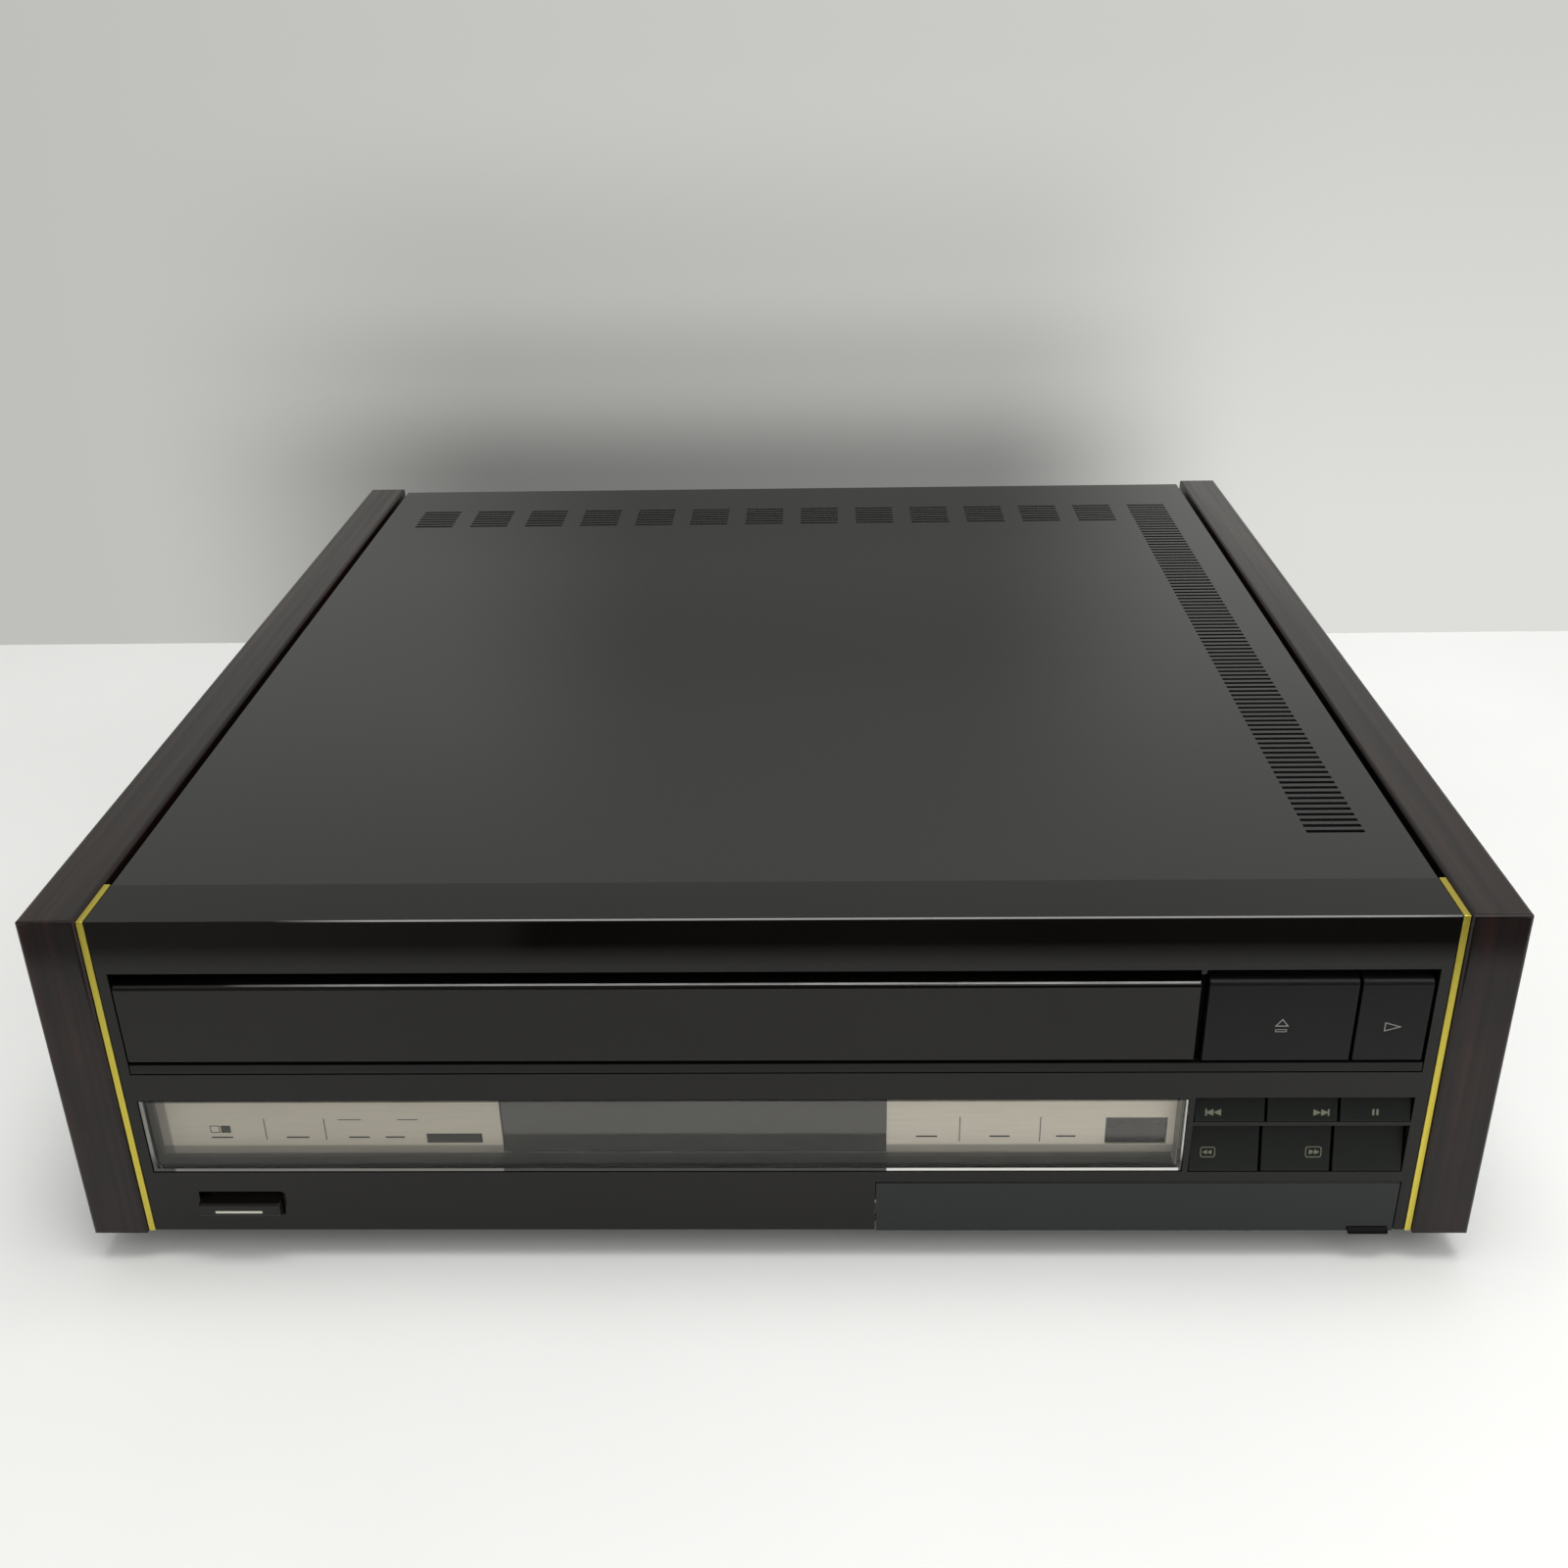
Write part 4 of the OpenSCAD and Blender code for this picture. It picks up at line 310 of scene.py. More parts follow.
def makeFrontGloss():
    material, tree, shader = startMaterial("front_gloss", {"IOR": 1.42})
    places = placeParts(tree)
    door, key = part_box("tray_door"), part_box("open_close_button")
    post = multiply(tree, within(tree, places["X"], door[1].x, key[0].x),   # in shade between door and key
                    within(tree, places["Z"], door[0].z, door[1].z + frontGloss["aboveDoor"] * mm))
    plain = twoTones(tree, noiseOn(tree, 14, 4), frontGloss["dark"], frontGloss["light"])
    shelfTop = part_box("front_panel")[1].z
    # Painted highlight: a thin light line along the shelf's front edge, standing for the lamp mirrored in it
    line = paintedEdgeHighlight(tree, places, [shelfTop - z * mm for z in frontGloss["highlightHigh"]],
                    depthAt([faceY + y for y in frontGloss["highlightDeep"]]), frontGloss["lit"])
    plain = mixColours(tree, line, plain, frontGloss["line"])
    setColour(tree, shader, mixColours(tree, post, plain, frontGloss["post"]))
    tree.links.new(mixColours(tree, post, grey(frontGloss["shine"]), grey(frontGloss["postShine"])),
                   shader.inputs["Specular IOR Level"])
    wipe = noiseOn(tree, 1.0, 5, (30, 60, 90), (0.2, 0.1, 0.4))
    setRough(tree, shader, span(tree, wipe, *frontGloss["rough"]))
    relief(tree, shader, noiseOn(tree, 9, 2), 0.015, 0.3)
    return material


# cover_paint carries a painted highlight along the cover's front top edge
coverPaint = {"dark": (0.0105, 0.0108, 0.0105), "light": (0.0140, 0.0142, 0.0138), "speck": 1500,
              "rough": (0.09, 0.14), "highlightHigh": (0.6, 0.5), "highlightDeep": (0.35, 0.40), "lit": (-175, 150),
              "line": (0.20, 0.20, 0.19)}


def makeCoverPaint():
    material, tree, shader = startMaterial("cover_paint", {"IOR": 1.42})
    speck = noiseOn(tree, coverPaint["speck"], 2)
    plain = twoTones(tree, speck, coverPaint["dark"], coverPaint["light"], 0.35, 0.65)
    low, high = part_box("top_cover")
    # Painted highlight: a thin light line along the cover's front top edge, standing for the lamp mirrored in
    # it
    line = paintedEdgeHighlight(tree, placeParts(tree), [high.z - z * mm for z in coverPaint["highlightHigh"]],
                    [low.y + y * mm for y in coverPaint["highlightDeep"]], coverPaint["lit"])
    setColour(tree, shader, mixColours(tree, line, plain, coverPaint["line"]))
    setRough(tree, shader, span(tree, noiseOn(tree, 9, 4), *coverPaint["rough"]))
    relief(tree, shader, speck, 0.10, 0.05)
    return material


def makeSpeckled(name, look, dark, light, scale, rough, bump=0.06, depth=0.05):
    material, tree, shader = startMaterial(name, look)
    spots = noiseOn(tree, scale, 4)
    setColour(tree, shader, twoTones(tree, spots, dark, light, 0.32, 0.68))
    setRough(tree, shader, span(tree, noiseOn(tree, scale * 0.13 + 6, 3), *rough))
    relief(tree, shader, spots, bump, depth)
    return material


zincSteel = {"flake": 110, "dark": (0.36, 0.36, 0.35), "light": (0.56, 0.56, 0.53), "rough": (0.30, 0.48)}


def makeZincSteel():
    material, tree, shader = startMaterial("zinc_steel", {"Metallic": 1.0})
    flakes = tree.nodes.new("ShaderNodeTexVoronoi")
    flakes.inputs["Scale"].default_value = zincSteel["flake"]
    tree.links.new(objectPlace(tree), flakes.inputs["Vector"])
    parts = tree.nodes.new("ShaderNodeSeparateColor")
    tree.links.new(flakes.outputs["Color"], parts.inputs[0])
    setColour(tree, shader, twoTones(tree, parts.outputs[0], zincSteel["dark"], zincSteel["light"], 0, 1))
    setRough(tree, shader, span(tree, parts.outputs[1], *zincSteel["rough"], 0, 1))
    relief(tree, shader, noiseOn(tree, 700, 3), 0.05, 0.04)
    return material


def makeTurned(name, colour, edge, rough, lines=1400):
    material, tree, shader = startMaterial(name, {"Metallic": 1.0})
    cuts = noiseOn(tree, 1.0, 2, (60, 60, lines))
    setColour(tree, shader, twoTones(tree, cuts, colour, edge))
    setRough(tree, shader, span(tree, cuts, *rough))
    relief(tree, shader, cuts, 0.08, 0.02)
    return material


windowClear = {"tint": (0.97, 0.965, 0.95), "ior": 1.49, "haze": 0.004, "shine": (0.45, 0.45, 0.44)}


def makeWindowClear():
    material, tree, shader = startMaterial("window_clear", {
        "Base Color": (*windowClear["tint"], 1), "Transmission Weight": 1.0, "IOR": windowClear["ior"],
        "Specular Tint": (*windowClear["shine"], 1)})
    setRough(tree, shader, span(tree, noiseOn(tree, 40, 4), 0.0, windowClear["haze"]))
    return material


# The plate's lower and left edges carry painted shade
champagne = {"dark": (0.71, 0.66, 0.545), "light": (0.75, 0.70, 0.585), "paintedShade": (0.55, 0.55, 0.56),
             "rightDark": (0.90, 0.835, 0.71), "rightLight": (0.95, 0.885, 0.76), "rightFrom": (20, 38),
             "paintedShadeLow": (29.9, 30.6), "paintedShadeLeft": (-199.6, -198.9), "rough": (0.42, 0.5)}


def makeBackingChampagne():
    material, tree, shader = startMaterial("backing_champagne", {"Metallic": 0.05, "IOR": 1.5})
    silk = noiseOn(tree, 1.0, 4, (60, 900, 900))
    plate = twoTones(tree, silk, champagne["dark"], champagne["light"])
    bright = twoTones(tree, silk, champagne["rightDark"], champagne["rightLight"])
    places = placeParts(tree)
    plate = changeOver(tree, places["X"], acrossAt(champagne["rightFrom"]), plate, bright)
    # Painted shade: the plate is darker along its lower and left edges, in the shade of the moulding's walls
    for axis, ends in (("Z", heightAt(champagne["paintedShadeLow"])), ("X", acrossAt(champagne["paintedShadeLeft"]))):
        plate = multiply(tree, plate, champagne["paintedShade"], span(tree, places[axis], 1, 0, *ends))
    setColour(tree, shader, plate)
    setRough(tree, shader, span(tree, noiseOn(tree, 300, 3), *champagne["rough"]))
    relief(tree, shader, silk, 0.02, 0.02)
    return material


# Painted light on the front of the window's rim: bright beside the plate's light zones, dim beside the tube,
# the upright ends dim low down and lighter higher up
clearTones = {"rightSide": (0.55, 0.54, 0.51), "bright": (0.78, 0.77, 0.74), "soft": (0.20, 0.195, 0.18),
              "dim": (0.045, 0.044, 0.041)}
clearEdge = {"low": (26.8, 26.9), "uprightFrom": (29.0, 34.0), "rightFrom": (100, 110), "rough": (0.12, 0.22),
             "along": [((-197.0, -196.2), "soft"), ((-88.2, -87.9), "dim"), ((37.0, 37.3), "bright"),
                       ((131.4, 131.9), "dim")]}


def makeWindowRimLight():
    material, tree, shader = startMaterial("window_rim_painted_light", {"IOR": 1.49})
    places = placeParts(tree)
    lit = clearTones["dim"]
    for ends, tone in clearEdge["along"]:
        lit = changeOver(tree, places["X"], acrossAt(ends), lit, clearTones[tone])
    sides = changeOver(tree, places["X"], acrossAt(clearEdge["rightFrom"]), clearTones["soft"],
                       clearTones["rightSide"])
    upright = changeOver(tree, places["Z"], heightAt(clearEdge["uprightFrom"]), clearTones["dim"], sides)
    setColour(tree, shader, changeOver(tree, places["Z"], heightAt(clearEdge["low"]), lit, upright))
    setRough(tree, shader, span(tree, noiseOn(tree, 300, 3), *clearEdge["rough"]))
    return material


# Painted shade and light on the sleeve inside the window: darker towards the front, lighter near the plate,
# dimmer beside the tube, lighter on the right wall
surround = {"dark": (0.014, 0.0132, 0.0115), "mid": (0.040, 0.038, 0.033), "light": (0.125, 0.118, 0.10),
            "wall": 0.35, "gap": 0.05, "deep": (4.15, 10.12), "across": (-202.6, 131.3), "high": (26.8, 52.7),
            "tubeStart": (-90, -88.5), "tubeEnd": (36.5, 38), "dimmer": (0.42, 0.42, 0.43),
            "rightFrom": (130.3, 130.5), "rightWall": (0.34, 0.325, 0.29), "rough": (0.4, 0.55)}


def makeSurroundShade():
    material, tree, shader = startMaterial("surround_painted_shade", {"IOR": 1.45, "Specular IOR Level": 0.2})
    places = placeParts(tree)
    shadeByDepth = tones(tree, span(tree, places["Y"], 0, 1, *depthAt(surround["deep"])),
                   [(0.05, surround["dark"]), (0.55, surround["mid"]), (0.95, surround["light"])])
    beside = changeOver(tree, places["X"], acrossAt(surround["tubeStart"]), grey(1.0), surround["dimmer"])
    beside = changeOver(tree, places["X"], acrossAt(surround["tubeEnd"]), beside, grey(1.0))
    setColour(tree, shader, changeOver(tree, places["X"], acrossAt(surround["rightFrom"]),
                                       multiply(tree, shadeByDepth, beside), surround["rightWall"]))
    setRough(tree, shader, span(tree, noiseOn(tree, 70, 3), *surround["rough"]))
    return material


tubeGlass = {"dark": (0.036, 0.034, 0.031), "light": (0.052, 0.049, 0.0455), "grid": 1900 / 6,
             "rough": (0.12, 0.22)}


def makeTubeGlass():
    material, tree, shader = startMaterial("tube_glass", {"IOR": 1.5, "Coat Weight": 0.6,
                                                          "Coat Roughness": 0.03})
    grid = tree.nodes.new("ShaderNodeTexWave")
    grid.wave_type = "BANDS"
    grid.bands_direction = "DIAGONAL"
    grid.inputs["Scale"].default_value = tubeGlass["grid"]
    tree.links.new(objectPlace(tree), grid.inputs["Vector"])
    setColour(tree, shader, twoTones(tree, grid.outputs["Fac"], tubeGlass["dark"], tubeGlass["light"],
                                     0.2, 0.8))
    setRough(tree, shader, span(tree, noiseOn(tree, 60, 3), *tubeGlass["rough"]))
    return material


boardLanes = {"scale": 160, "edge": (0.04, 0.08), "rough": (0.25, 0.45)}


def makeBoard(name, bare, track):
    material, tree, shader = startMaterial(name, {"IOR": 1.5})
    lanes = tree.nodes.new("ShaderNodeTexVoronoi")
    lanes.distance = "MANHATTAN"
    lanes.feature = "DISTANCE_TO_EDGE"
    lanes.inputs["Scale"].default_value = boardLanes["scale"]
    tree.links.new(objectPlace(tree), lanes.inputs["Vector"])
    setColour(tree, shader, twoTones(tree, lanes.outputs["Distance"], track, bare, *boardLanes["edge"]))
    setRough(tree, shader, span(tree, noiseOn(tree, 90, 3), *boardLanes["rough"]))
    relief(tree, shader, lanes.outputs["Distance"], 0.15, 0.05)
    return material


plainFinishes = {
    "back_paint": {"look": {"IOR": 1.5}, "dark": grey(0.013), "light": grey(0.024), "scale": 1300,
                   "rough": (0.42, 0.55), "bump": 0.2, "depth": 0.08},
    "foot_plastic": {"look": {"IOR": 1.46}, "dark": grey(0.011), "light": grey(0.02), "scale": 900,
                     "rough": (0.4, 0.55), "bump": 0.12, "depth": 0.06},
    "pad_rubber": {"look": {"IOR": 1.4}, "dark": grey(0.016), "light": (0.034, 0.033, 0.032), "scale": 1200,
                   "rough": (0.7, 0.85), "bump": 0.15, "depth": 0.06},
    "screw_steel": {"look": {"Metallic": 1.0}, "dark": (0.06, 0.06, 0.065), "light": (0.13, 0.13, 0.135),
                    "scale": 600, "rough": (0.25, 0.4)},
    "sensor_dark": {"look": {"IOR": 1.5, "Coat Weight": 0.5, "Coat Roughness": 0.03},
                    "dark": (0.026, 0.021, 0.017), "light": (0.033, 0.027, 0.022), "scale": 90,
                    "rough": (0.1, 0.2), "bump": 0.02, "depth": 0.02},
    "key_dark": {"look": {"IOR": 1.45, "Specular IOR Level": 0.25}, "dark": (0.0046, 0.0056, 0.0050),
                 "light": (0.0066, 0.0078, 0.0070), "scale": 2400, "rough": (0.34, 0.42), "bump": 0.10,
                 "depth": 0.03},
    "inner_black": {"look": {"IOR": 1.45}, "dark": grey(0.010), "light": grey(0.017), "scale": 1100,
                    "rough": (0.35, 0.5), "bump": 0.1, "depth": 0.04},
    "small_key_grey": {"look": {"IOR": 1.45}, "dark": (0.19, 0.19, 0.185), "light": (0.24, 0.24, 0.235),
                       "scale": 1500, "rough": (0.38, 0.5), "bump": 0.08, "depth": 0.03},
    "tray_charcoal": {"look": {"IOR": 1.46}, "dark": (0.017, 0.017, 0.018), "light": (0.028, 0.028, 0.029),
                      "scale": 1700, "rough": (0.4, 0.52), "bump": 0.18, "depth": 0.05},
    "acetal_white": {"look": {"IOR": 1.48, "Subsurface Weight": 0.05}, "dark": (0.66, 0.65, 0.61),
                     "light": (0.74, 0.73, 0.69), "scale": 120, "rough": (0.3, 0.42), "bump": 0.03,
                     "depth": 0.03},
}
turnedMetals = {
    "motor_steel": (grey(0.34), (0.50, 0.50, 0.49), (0.28, 0.4)),
    "brass_turned": ((0.62, 0.42, 0.16), (0.78, 0.56, 0.24), (0.2, 0.34)),
    "platter_aluminium": (grey(0.60), (0.74, 0.74, 0.73), (0.24, 0.36), 900),
    "rod_chrome": ((0.70, 0.70, 0.71), grey(0.80), (0.06, 0.12), 300),
}
finishes = {
    "rosewood_gloss": makeRosewood(), "gold_strip": makeGoldStrip(), "front_gloss": makeFrontGloss(),
    "cover_paint": makeCoverPaint(), "zinc_steel": makeZincSteel(), "window_clear": makeWindowClear(),
    "backing_champagne": makeBackingChampagne(), "tube_glass": makeTubeGlass(),
    "board_green": makeBoard("board_green", (0.012, 0.075, 0.03), (0.03, 0.13, 0.05)),
    "board_brown": makeBoard("board_brown", (0.20, 0.115, 0.045), (0.27, 0.17, 0.08)),
}
finishes.update({name: makeSpeckled(name, **values) for name, values in plainFinishes.items()})
finishes.update({name: makeTurned(name, *values) for name, values in turnedMetals.items()})

# Pieces whose finish differs from the others of their slot
upperKeys = ("skip_back_button", "skip_forward_button", "pause_button")
lowerKeys = ("scan_back_button", "scan_forward_button", "mode_button")
ownFinishes = {
    "bay_ledge": makeSpeckled("ledge_satin", {"IOR": 1.42, "Specular IOR Level": 0.3},
                              (0.0040, 0.0040, 0.0038), (0.0056, 0.0056, 0.0052), 30, (0.10, 0.16), 0.03, 0.05),
    "control_door": makeSpeckled("flap_gloss", {"IOR": 1.44, "Specular IOR Level": 0.45},
                                 (0.0065, 0.0078, 0.0090), (0.0085, 0.0098, 0.0112), 14, (0.05, 0.09), 0.04,
                                 0.3),
}
slopedFinish = makeSpeckled("sloped_key", {"IOR": 1.45, "Specular IOR Level": 0.22}, (0.0098, 0.0115, 0.0099),
                            (0.0124, 0.0142, 0.0125), 2400, (0.36, 0.44), 0.08, 0.03)
ownFinishes.update({node: slopedFinish for node in upperKeys + lowerKeys})


def putFinish(piece, node):
    piece.data.materials.clear()
    piece.data.materials.append(ownFinishes.get(node) or finishes[slotOf[node]])


for node, piece in frame["nodes"].items():
    putFinish(piece, node)
print("materials:", len(finishes), "on", len(frame["nodes"]), "nodes")


# Finished copies of the nodes that show: the same solid with its edges broken
flatAngle = radians(0.5)                # faces that turn less than this are one flat face
sharpAngle = radians(30)                # only edges sharper than this are rounded
smoothAngle = radians(35)               # edges flatter than this are shaded smooth


def copyOfNode(node):
    activate(frame["nodes"][node])
    bpy.ops.object.duplicate()
    piece = bpy.context.object
    piece.name = node + "_finished"
    del piece["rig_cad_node"]
    piece.parent = None
    bpy.ops.mesh.customdata_custom_splitnormals_clear()
    editMode()
    bpy.ops.mesh.select_all(action="SELECT")
    bpy.ops.mesh.remove_doubles(threshold=1e-6)
    bpy.ops.mesh.dissolve_limited(angle_limit=flatAngle)
    objectMode()
    return piece


def bevelEdges(piece, width, segments, wanted):
    activate(piece)
    editMode("EDGE")
    bpy.ops.mesh.select_all(action="DESELECT")
    bpy.ops.mesh.edges_select_sharp(sharpness=sharpAngle)
    objectMode()
    points = piece.data.vertices
    for edge in piece.data.edges:
        edge.select = edge.select and all(wanted(points[i].co / mm) for i in edge.vertices)
    editMode("EDGE")                    # a face with only sharp edges is still selected, and its edges with it
    chosen = piece.data.total_edge_sel
    bpy.ops.mesh.bevel(offset=width * mm, segments=segments, affect="EDGES", clamp_overlap=True)
    objectMode()
    print("  bevelled", chosen, "edges of", piece.name)


def finishCopy(piece, node):
    activate(piece)
    bpy.ops.object.shade_smooth_by_angle(angle=smoothAngle)
    bpy.ops.object.modifier_add(type="WEIGHTED_NORMAL")          # keeps the flat faces flat beside a bevel
    piece.modifiers[-1].keep_sharp = True
    piece.modifiers[-1].weight = 100
    bpy.ops.object.modifier_apply(modifier=piece.modifiers[-1].name)
    putFinish(piece, node)
    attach(piece, bodyOf[node])
    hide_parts(node)
    return piece


def nodeEdges(node):
    low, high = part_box(node)
    return low / mm, high / mm


def paintFaces(piece, material, wanted):
    piece.data.materials.append(material)
    chosen = [face for face in piece.data.polygons if wanted(face)]
    for face in chosen:
        face.material_index = len(piece.data.materials) - 1
    return len(chosen)


# A glossy edge carries a painted highlight: a thin light line in its colour, standing for the lamp above
# mirrored in it, mottled by noise
glint = {"line": (0.42, 0.42, 0.40), "plain": (0.012, 0.011, 0.010), "fade": 30, "highlightMottle": 0.6}


def makeGlint(name, litFrom, litTo):
    material, tree, shader = startMaterial(name, {"IOR": 1.45, "Roughness": 0.3})
    along, fade = placeParts(tree)["X"], glint["fade"]
    lit = changeOver(tree, along, acrossAt([litFrom - fade, litFrom]), glint["plain"], glint["line"])
    lit = changeOver(tree, along, acrossAt([litTo, litTo + fade]), lit, glint["plain"])
    highlightMottle = twoTones(tree, noiseOn(tree, 60, 3), grey(glint["highlightMottle"]), grey(1.0), 0.35, 0.65)
    setColour(tree, shader, multiply(tree, lit, highlightMottle))
    return material


def addGlint(piece, litFrom, litTo, wanted):
    count = paintFaces(piece, makeGlint(piece.name + "_glint", litFrom, litTo), wanted)
    print("  glint on", count, "faces of", piece.name)


frontEdges = {"depth": 0.6, "panel": 0.35, "shelf": 1.0, "shelfHigh": 2, "lit": (-130, 230),
              "slanted": (0.6, 0.8), "leastArea": 1e-6}
# The power button's hole is lower and wider than the solid's, as the button shows in the photograph
powerHole = {"across": (-193, -158), "top": 17.6, "newTop": 17.2, "leftWall": (-192.4, -188.3),
             "leftHigh": (5, 19.8), "wider": 1.9}


def makeFrontPanel():
    piece = copyOfNode("front_panel")
    low, high = nodeEdges("front_panel")
    onFace = low.y + frontEdges["depth"]
    shelfTop = high.z - onPlane
    count = movePoints(piece, lambda point: between(point.co.x / mm, powerHole["across"])
                       and nearTo(point.co.z / mm, powerHole["top"] + footHeight),
                       up=powerHole["newTop"] - powerHole["top"])
    count += movePoints(piece, lambda point: between(point.co.x / mm, powerHole["leftWall"])
                        and between(point.co.z / mm - footHeight, powerHole["leftHigh"]),
                        across=-powerHole["wider"])
    print("  power hole:", count, "points")
    bevelEdges(piece, frontEdges["shelf"], 3, lambda end: end.y < onFace and end.z > shelfTop)
    bevelEdges(piece, frontEdges["panel"], 2,
               lambda end: end.y < onFace and end.z < shelfTop - frontEdges["shelfHigh"])
    finishCopy(piece, "front_panel")
    addGlint(piece, *frontEdges["lit"], lambda face: face.center.z / mm > shelfTop - 1
             and face.area > frontEdges["leastArea"] and face.center.y / mm < onFace
             and between(face.normal.z, frontEdges["slanted"]))


coverEdge = {"sides": 0.8, "front": 0.5, "backSlope": 3, "lit": (-160, 140), "near": 0.6, "tilt": (-0.3, 0.2)}


def makeTopCover():
    piece = copyOfNode("top_cover")
    low, high = nodeEdges("top_cover")
    top = high.z - onPlane
    bevelEdges(piece, coverEdge["sides"], 3, lambda end: end.z > top and (
        abs(end.x) > high.x - onPlane or end.y > high.y - coverEdge["backSlope"]))
    bevelEdges(piece, coverEdge["front"], 2, lambda end: end.z > top and end.y < low.y + onPlane)
    finishCopy(piece, "top_cover")
    ahead, up = coverEdge["tilt"]
    near = coverEdge["near"]
    addGlint(piece, *coverEdge["lit"], lambda face: face.center.z / mm > high.z - near
             and face.center.y / mm < low.y + near and face.normal.y < ahead and face.normal.z > up)


# The power button shows as a flat bar, so the points of the solid's section are moved
powerSection = [((-4.5, 12.0), (-1.8, 9.7)), ((-4.5, 16.4), (-1.8, 14.0)), ((-4.1, 16.8), (-1.4, 14.4))]
powerShape = {"top": 17.3, "newTop": 14.7, "left": -188.3, "shorter": 2.7}


def shapePowerButton(piece):
    count = 0
    for (y, z), (newY, newZ) in powerSection:
        at = atFront(0, z, y) / mm
        count += movePoints(piece, lambda point: nearTo(point.co.y / mm, at.y)
                            and nearTo(point.co.z / mm, at.z), out=newY - y, up=newZ - z)
    count += movePoints(piece, lambda point: nearTo(point.co.z / mm, powerShape["top"] + footHeight),
                        up=powerShape["newTop"] - powerShape["top"])
    count += movePoints(piece, lambda point: nearTo(point.co.x / mm, powerShape["left"], 0.1)
                        and point.co.y / mm + caseMid < faceY + 0.2, across=-powerHole["wider"])
    print("  power button:", count, "points")


# The end of a stem that stands through a lower key's sloping face is taken off and the face closed
keySlope = {"from": 26.1, "rise": 16.6, "back": 4.4, "startsAbove": 2, "ahead": 0.04}


def closeKeyFace(piece):
    def inFront(face):
        up = face.center.z / mm - footHeight - keySlope["from"]
        surface = faceY + keySlope["back"] * up / keySlope["rise"]
        return up > keySlope["startsAbove"] and face.center.y / mm + caseMid < surface - keySlope["ahead"]
    count = pick(piece, "FACE", inFront)
    bpy.ops.mesh.delete(type="FACE")
    editMode("EDGE")
    bpy.ops.mesh.select_non_manifold(extend=False)
    bpy.ops.mesh.edge_face_add()
    bpy.ops.mesh.select_all(action="SELECT")
    bpy.ops.mesh.dissolve_limited(angle_limit=flatAngle)
    bpy.ops.mesh.normals_make_consistent(inside=False)
    objectMode()
    print("  key face closed over", count, "faces")


# Width of the rounding at a piece's front, and how far back the rounded edges reach where the face slopes
frontRounding = {"tray_door": 0.35, "control_door": 0.3, "bay_ledge": 0.25, "power_button": 0.35,
                 "open_close_button": 0.35, "play_button": 0.35, **dict.fromkeys(upperKeys + lowerKeys, 0.3)}
roundingReach = {**dict.fromkeys(upperKeys, 3.4), **dict.fromkeys(lowerKeys, 5.2)}
flapLip = {"back": 0.9, "down": 0.3, "deep": 0.5, "dark": grey(0.0018), "light": grey(0.0030)}
doorEdge = {"lit": (-140, 140), "deep": 1.6, "high": 2, "slanted": (0.75, 0.97)}


def makeRoundedFront(node, width):
    piece = copyOfNode(node)
    low, high = nodeEdges(node)
    if node == "power_button":
        shapePowerButton(piece)
        low.y += powerShape["shorter"]
    if node in lowerKeys:
        closeKeyFace(piece)
    if node == "control_door":
        movePoints(piece, lambda point: point.co.y / mm < low.y + flapLip["deep"], out=flapLip["back"],
                   up=-flapLip["down"])
        low.y += flapLip["back"]
    reach = roundingReach.get(node, 1.0)
    bevelEdges(piece, width, 2, lambda end: end.y < low.y + reach)
    finishCopy(piece, node)
    if node == "control_door":
        dark = makeSpeckled("lip_dark", {"IOR": 1.4, "Specular IOR Level": 0.08}, flapLip["dark"],
                            flapLip["light"], 900, (0.3, 0.4), 0.03, 0.03)
        paintFaces(piece, dark, lambda face: face.center.y / mm + caseMid < faceY - 0.05)
    if node == "tray_door":
        addGlint(piece, *doorEdge["lit"], lambda face: face.center.y / mm < low.y + doorEdge["deep"]
                 and between(face.normal.z, doorEdge["slanted"])
                 and face.center.z / mm > high.z - doorEdge["high"])


windowRim = {"bevel": 0.3, "left": -202.5, "right": 132.0, "low": 26.75, "deep": 0.7}


def makeDisplayWindow():
    piece = copyOfNode("display_window")
    front = nodeEdges("display_window")[0].y
    left, right = windowRim["left"], windowRim["right"]
    lowest = windowRim["low"] + footHeight
    bevelEdges(piece, windowRim["bevel"], 2, lambda end: end.y < front + onPlane)
    sideways, upward = (1, 0, 0), (0, 0, 1)
    for place, normal in (((left, 0), sideways), ((right, 0), sideways), ((0, windowRim["low"]), upward)):
        pick(piece, "FACE", lambda face: face.normal.y < -0.9 and face.center.y / mm < front + onPlane)
        bpy.ops.mesh.bisect(plane_co=atFront(*place), plane_no=normal)     # along the rim of the moulding
        objectMode()
    finishCopy(piece, "display_window")

    def onRim(face):
        middle = face.center / mm
        return middle.y < front + windowRim["deep"] and (middle.z < lowest or not left <= middle.x <= right)
    # the front of the rim carries painted light
    paintFaces(piece, makeWindowRimLight(), onRim)


def makeDisplaySurround():
    (left, right), (bottom, top), (front, back) = surround["across"], surround["high"], surround["deep"]
    gap = surround["gap"]
    low = atFront(left + gap, bottom + gap, front)
    high = atFront(right - gap, top - gap, back)
    deselectAll()
    bpy.ops.mesh.primitive_cube_add(size=1, location=(low + high) / 2)
    piece = bpy.context.object
    piece.name = "display_surround"
    piece.scale = high - low
    bpy.ops.object.transform_apply(location=True, rotation=True, scale=True)
    pick(piece, "FACE", lambda face: abs(face.normal.y) > 0.9)
    bpy.ops.mesh.delete(type="FACE")                       # a sleeve, open to the front and to the plate
    objectMode()
    bpy.ops.object.modifier_add(type="SOLIDIFY")
    piece.modifiers[-1].thickness = surround["wall"] * mm
    piece.modifiers[-1].offset = -1
    bpy.ops.object.modifier_apply(modifier=piece.modifiers[-1].name)
    piece.data.materials.append(makeSurroundShade())
    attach(piece, "root")


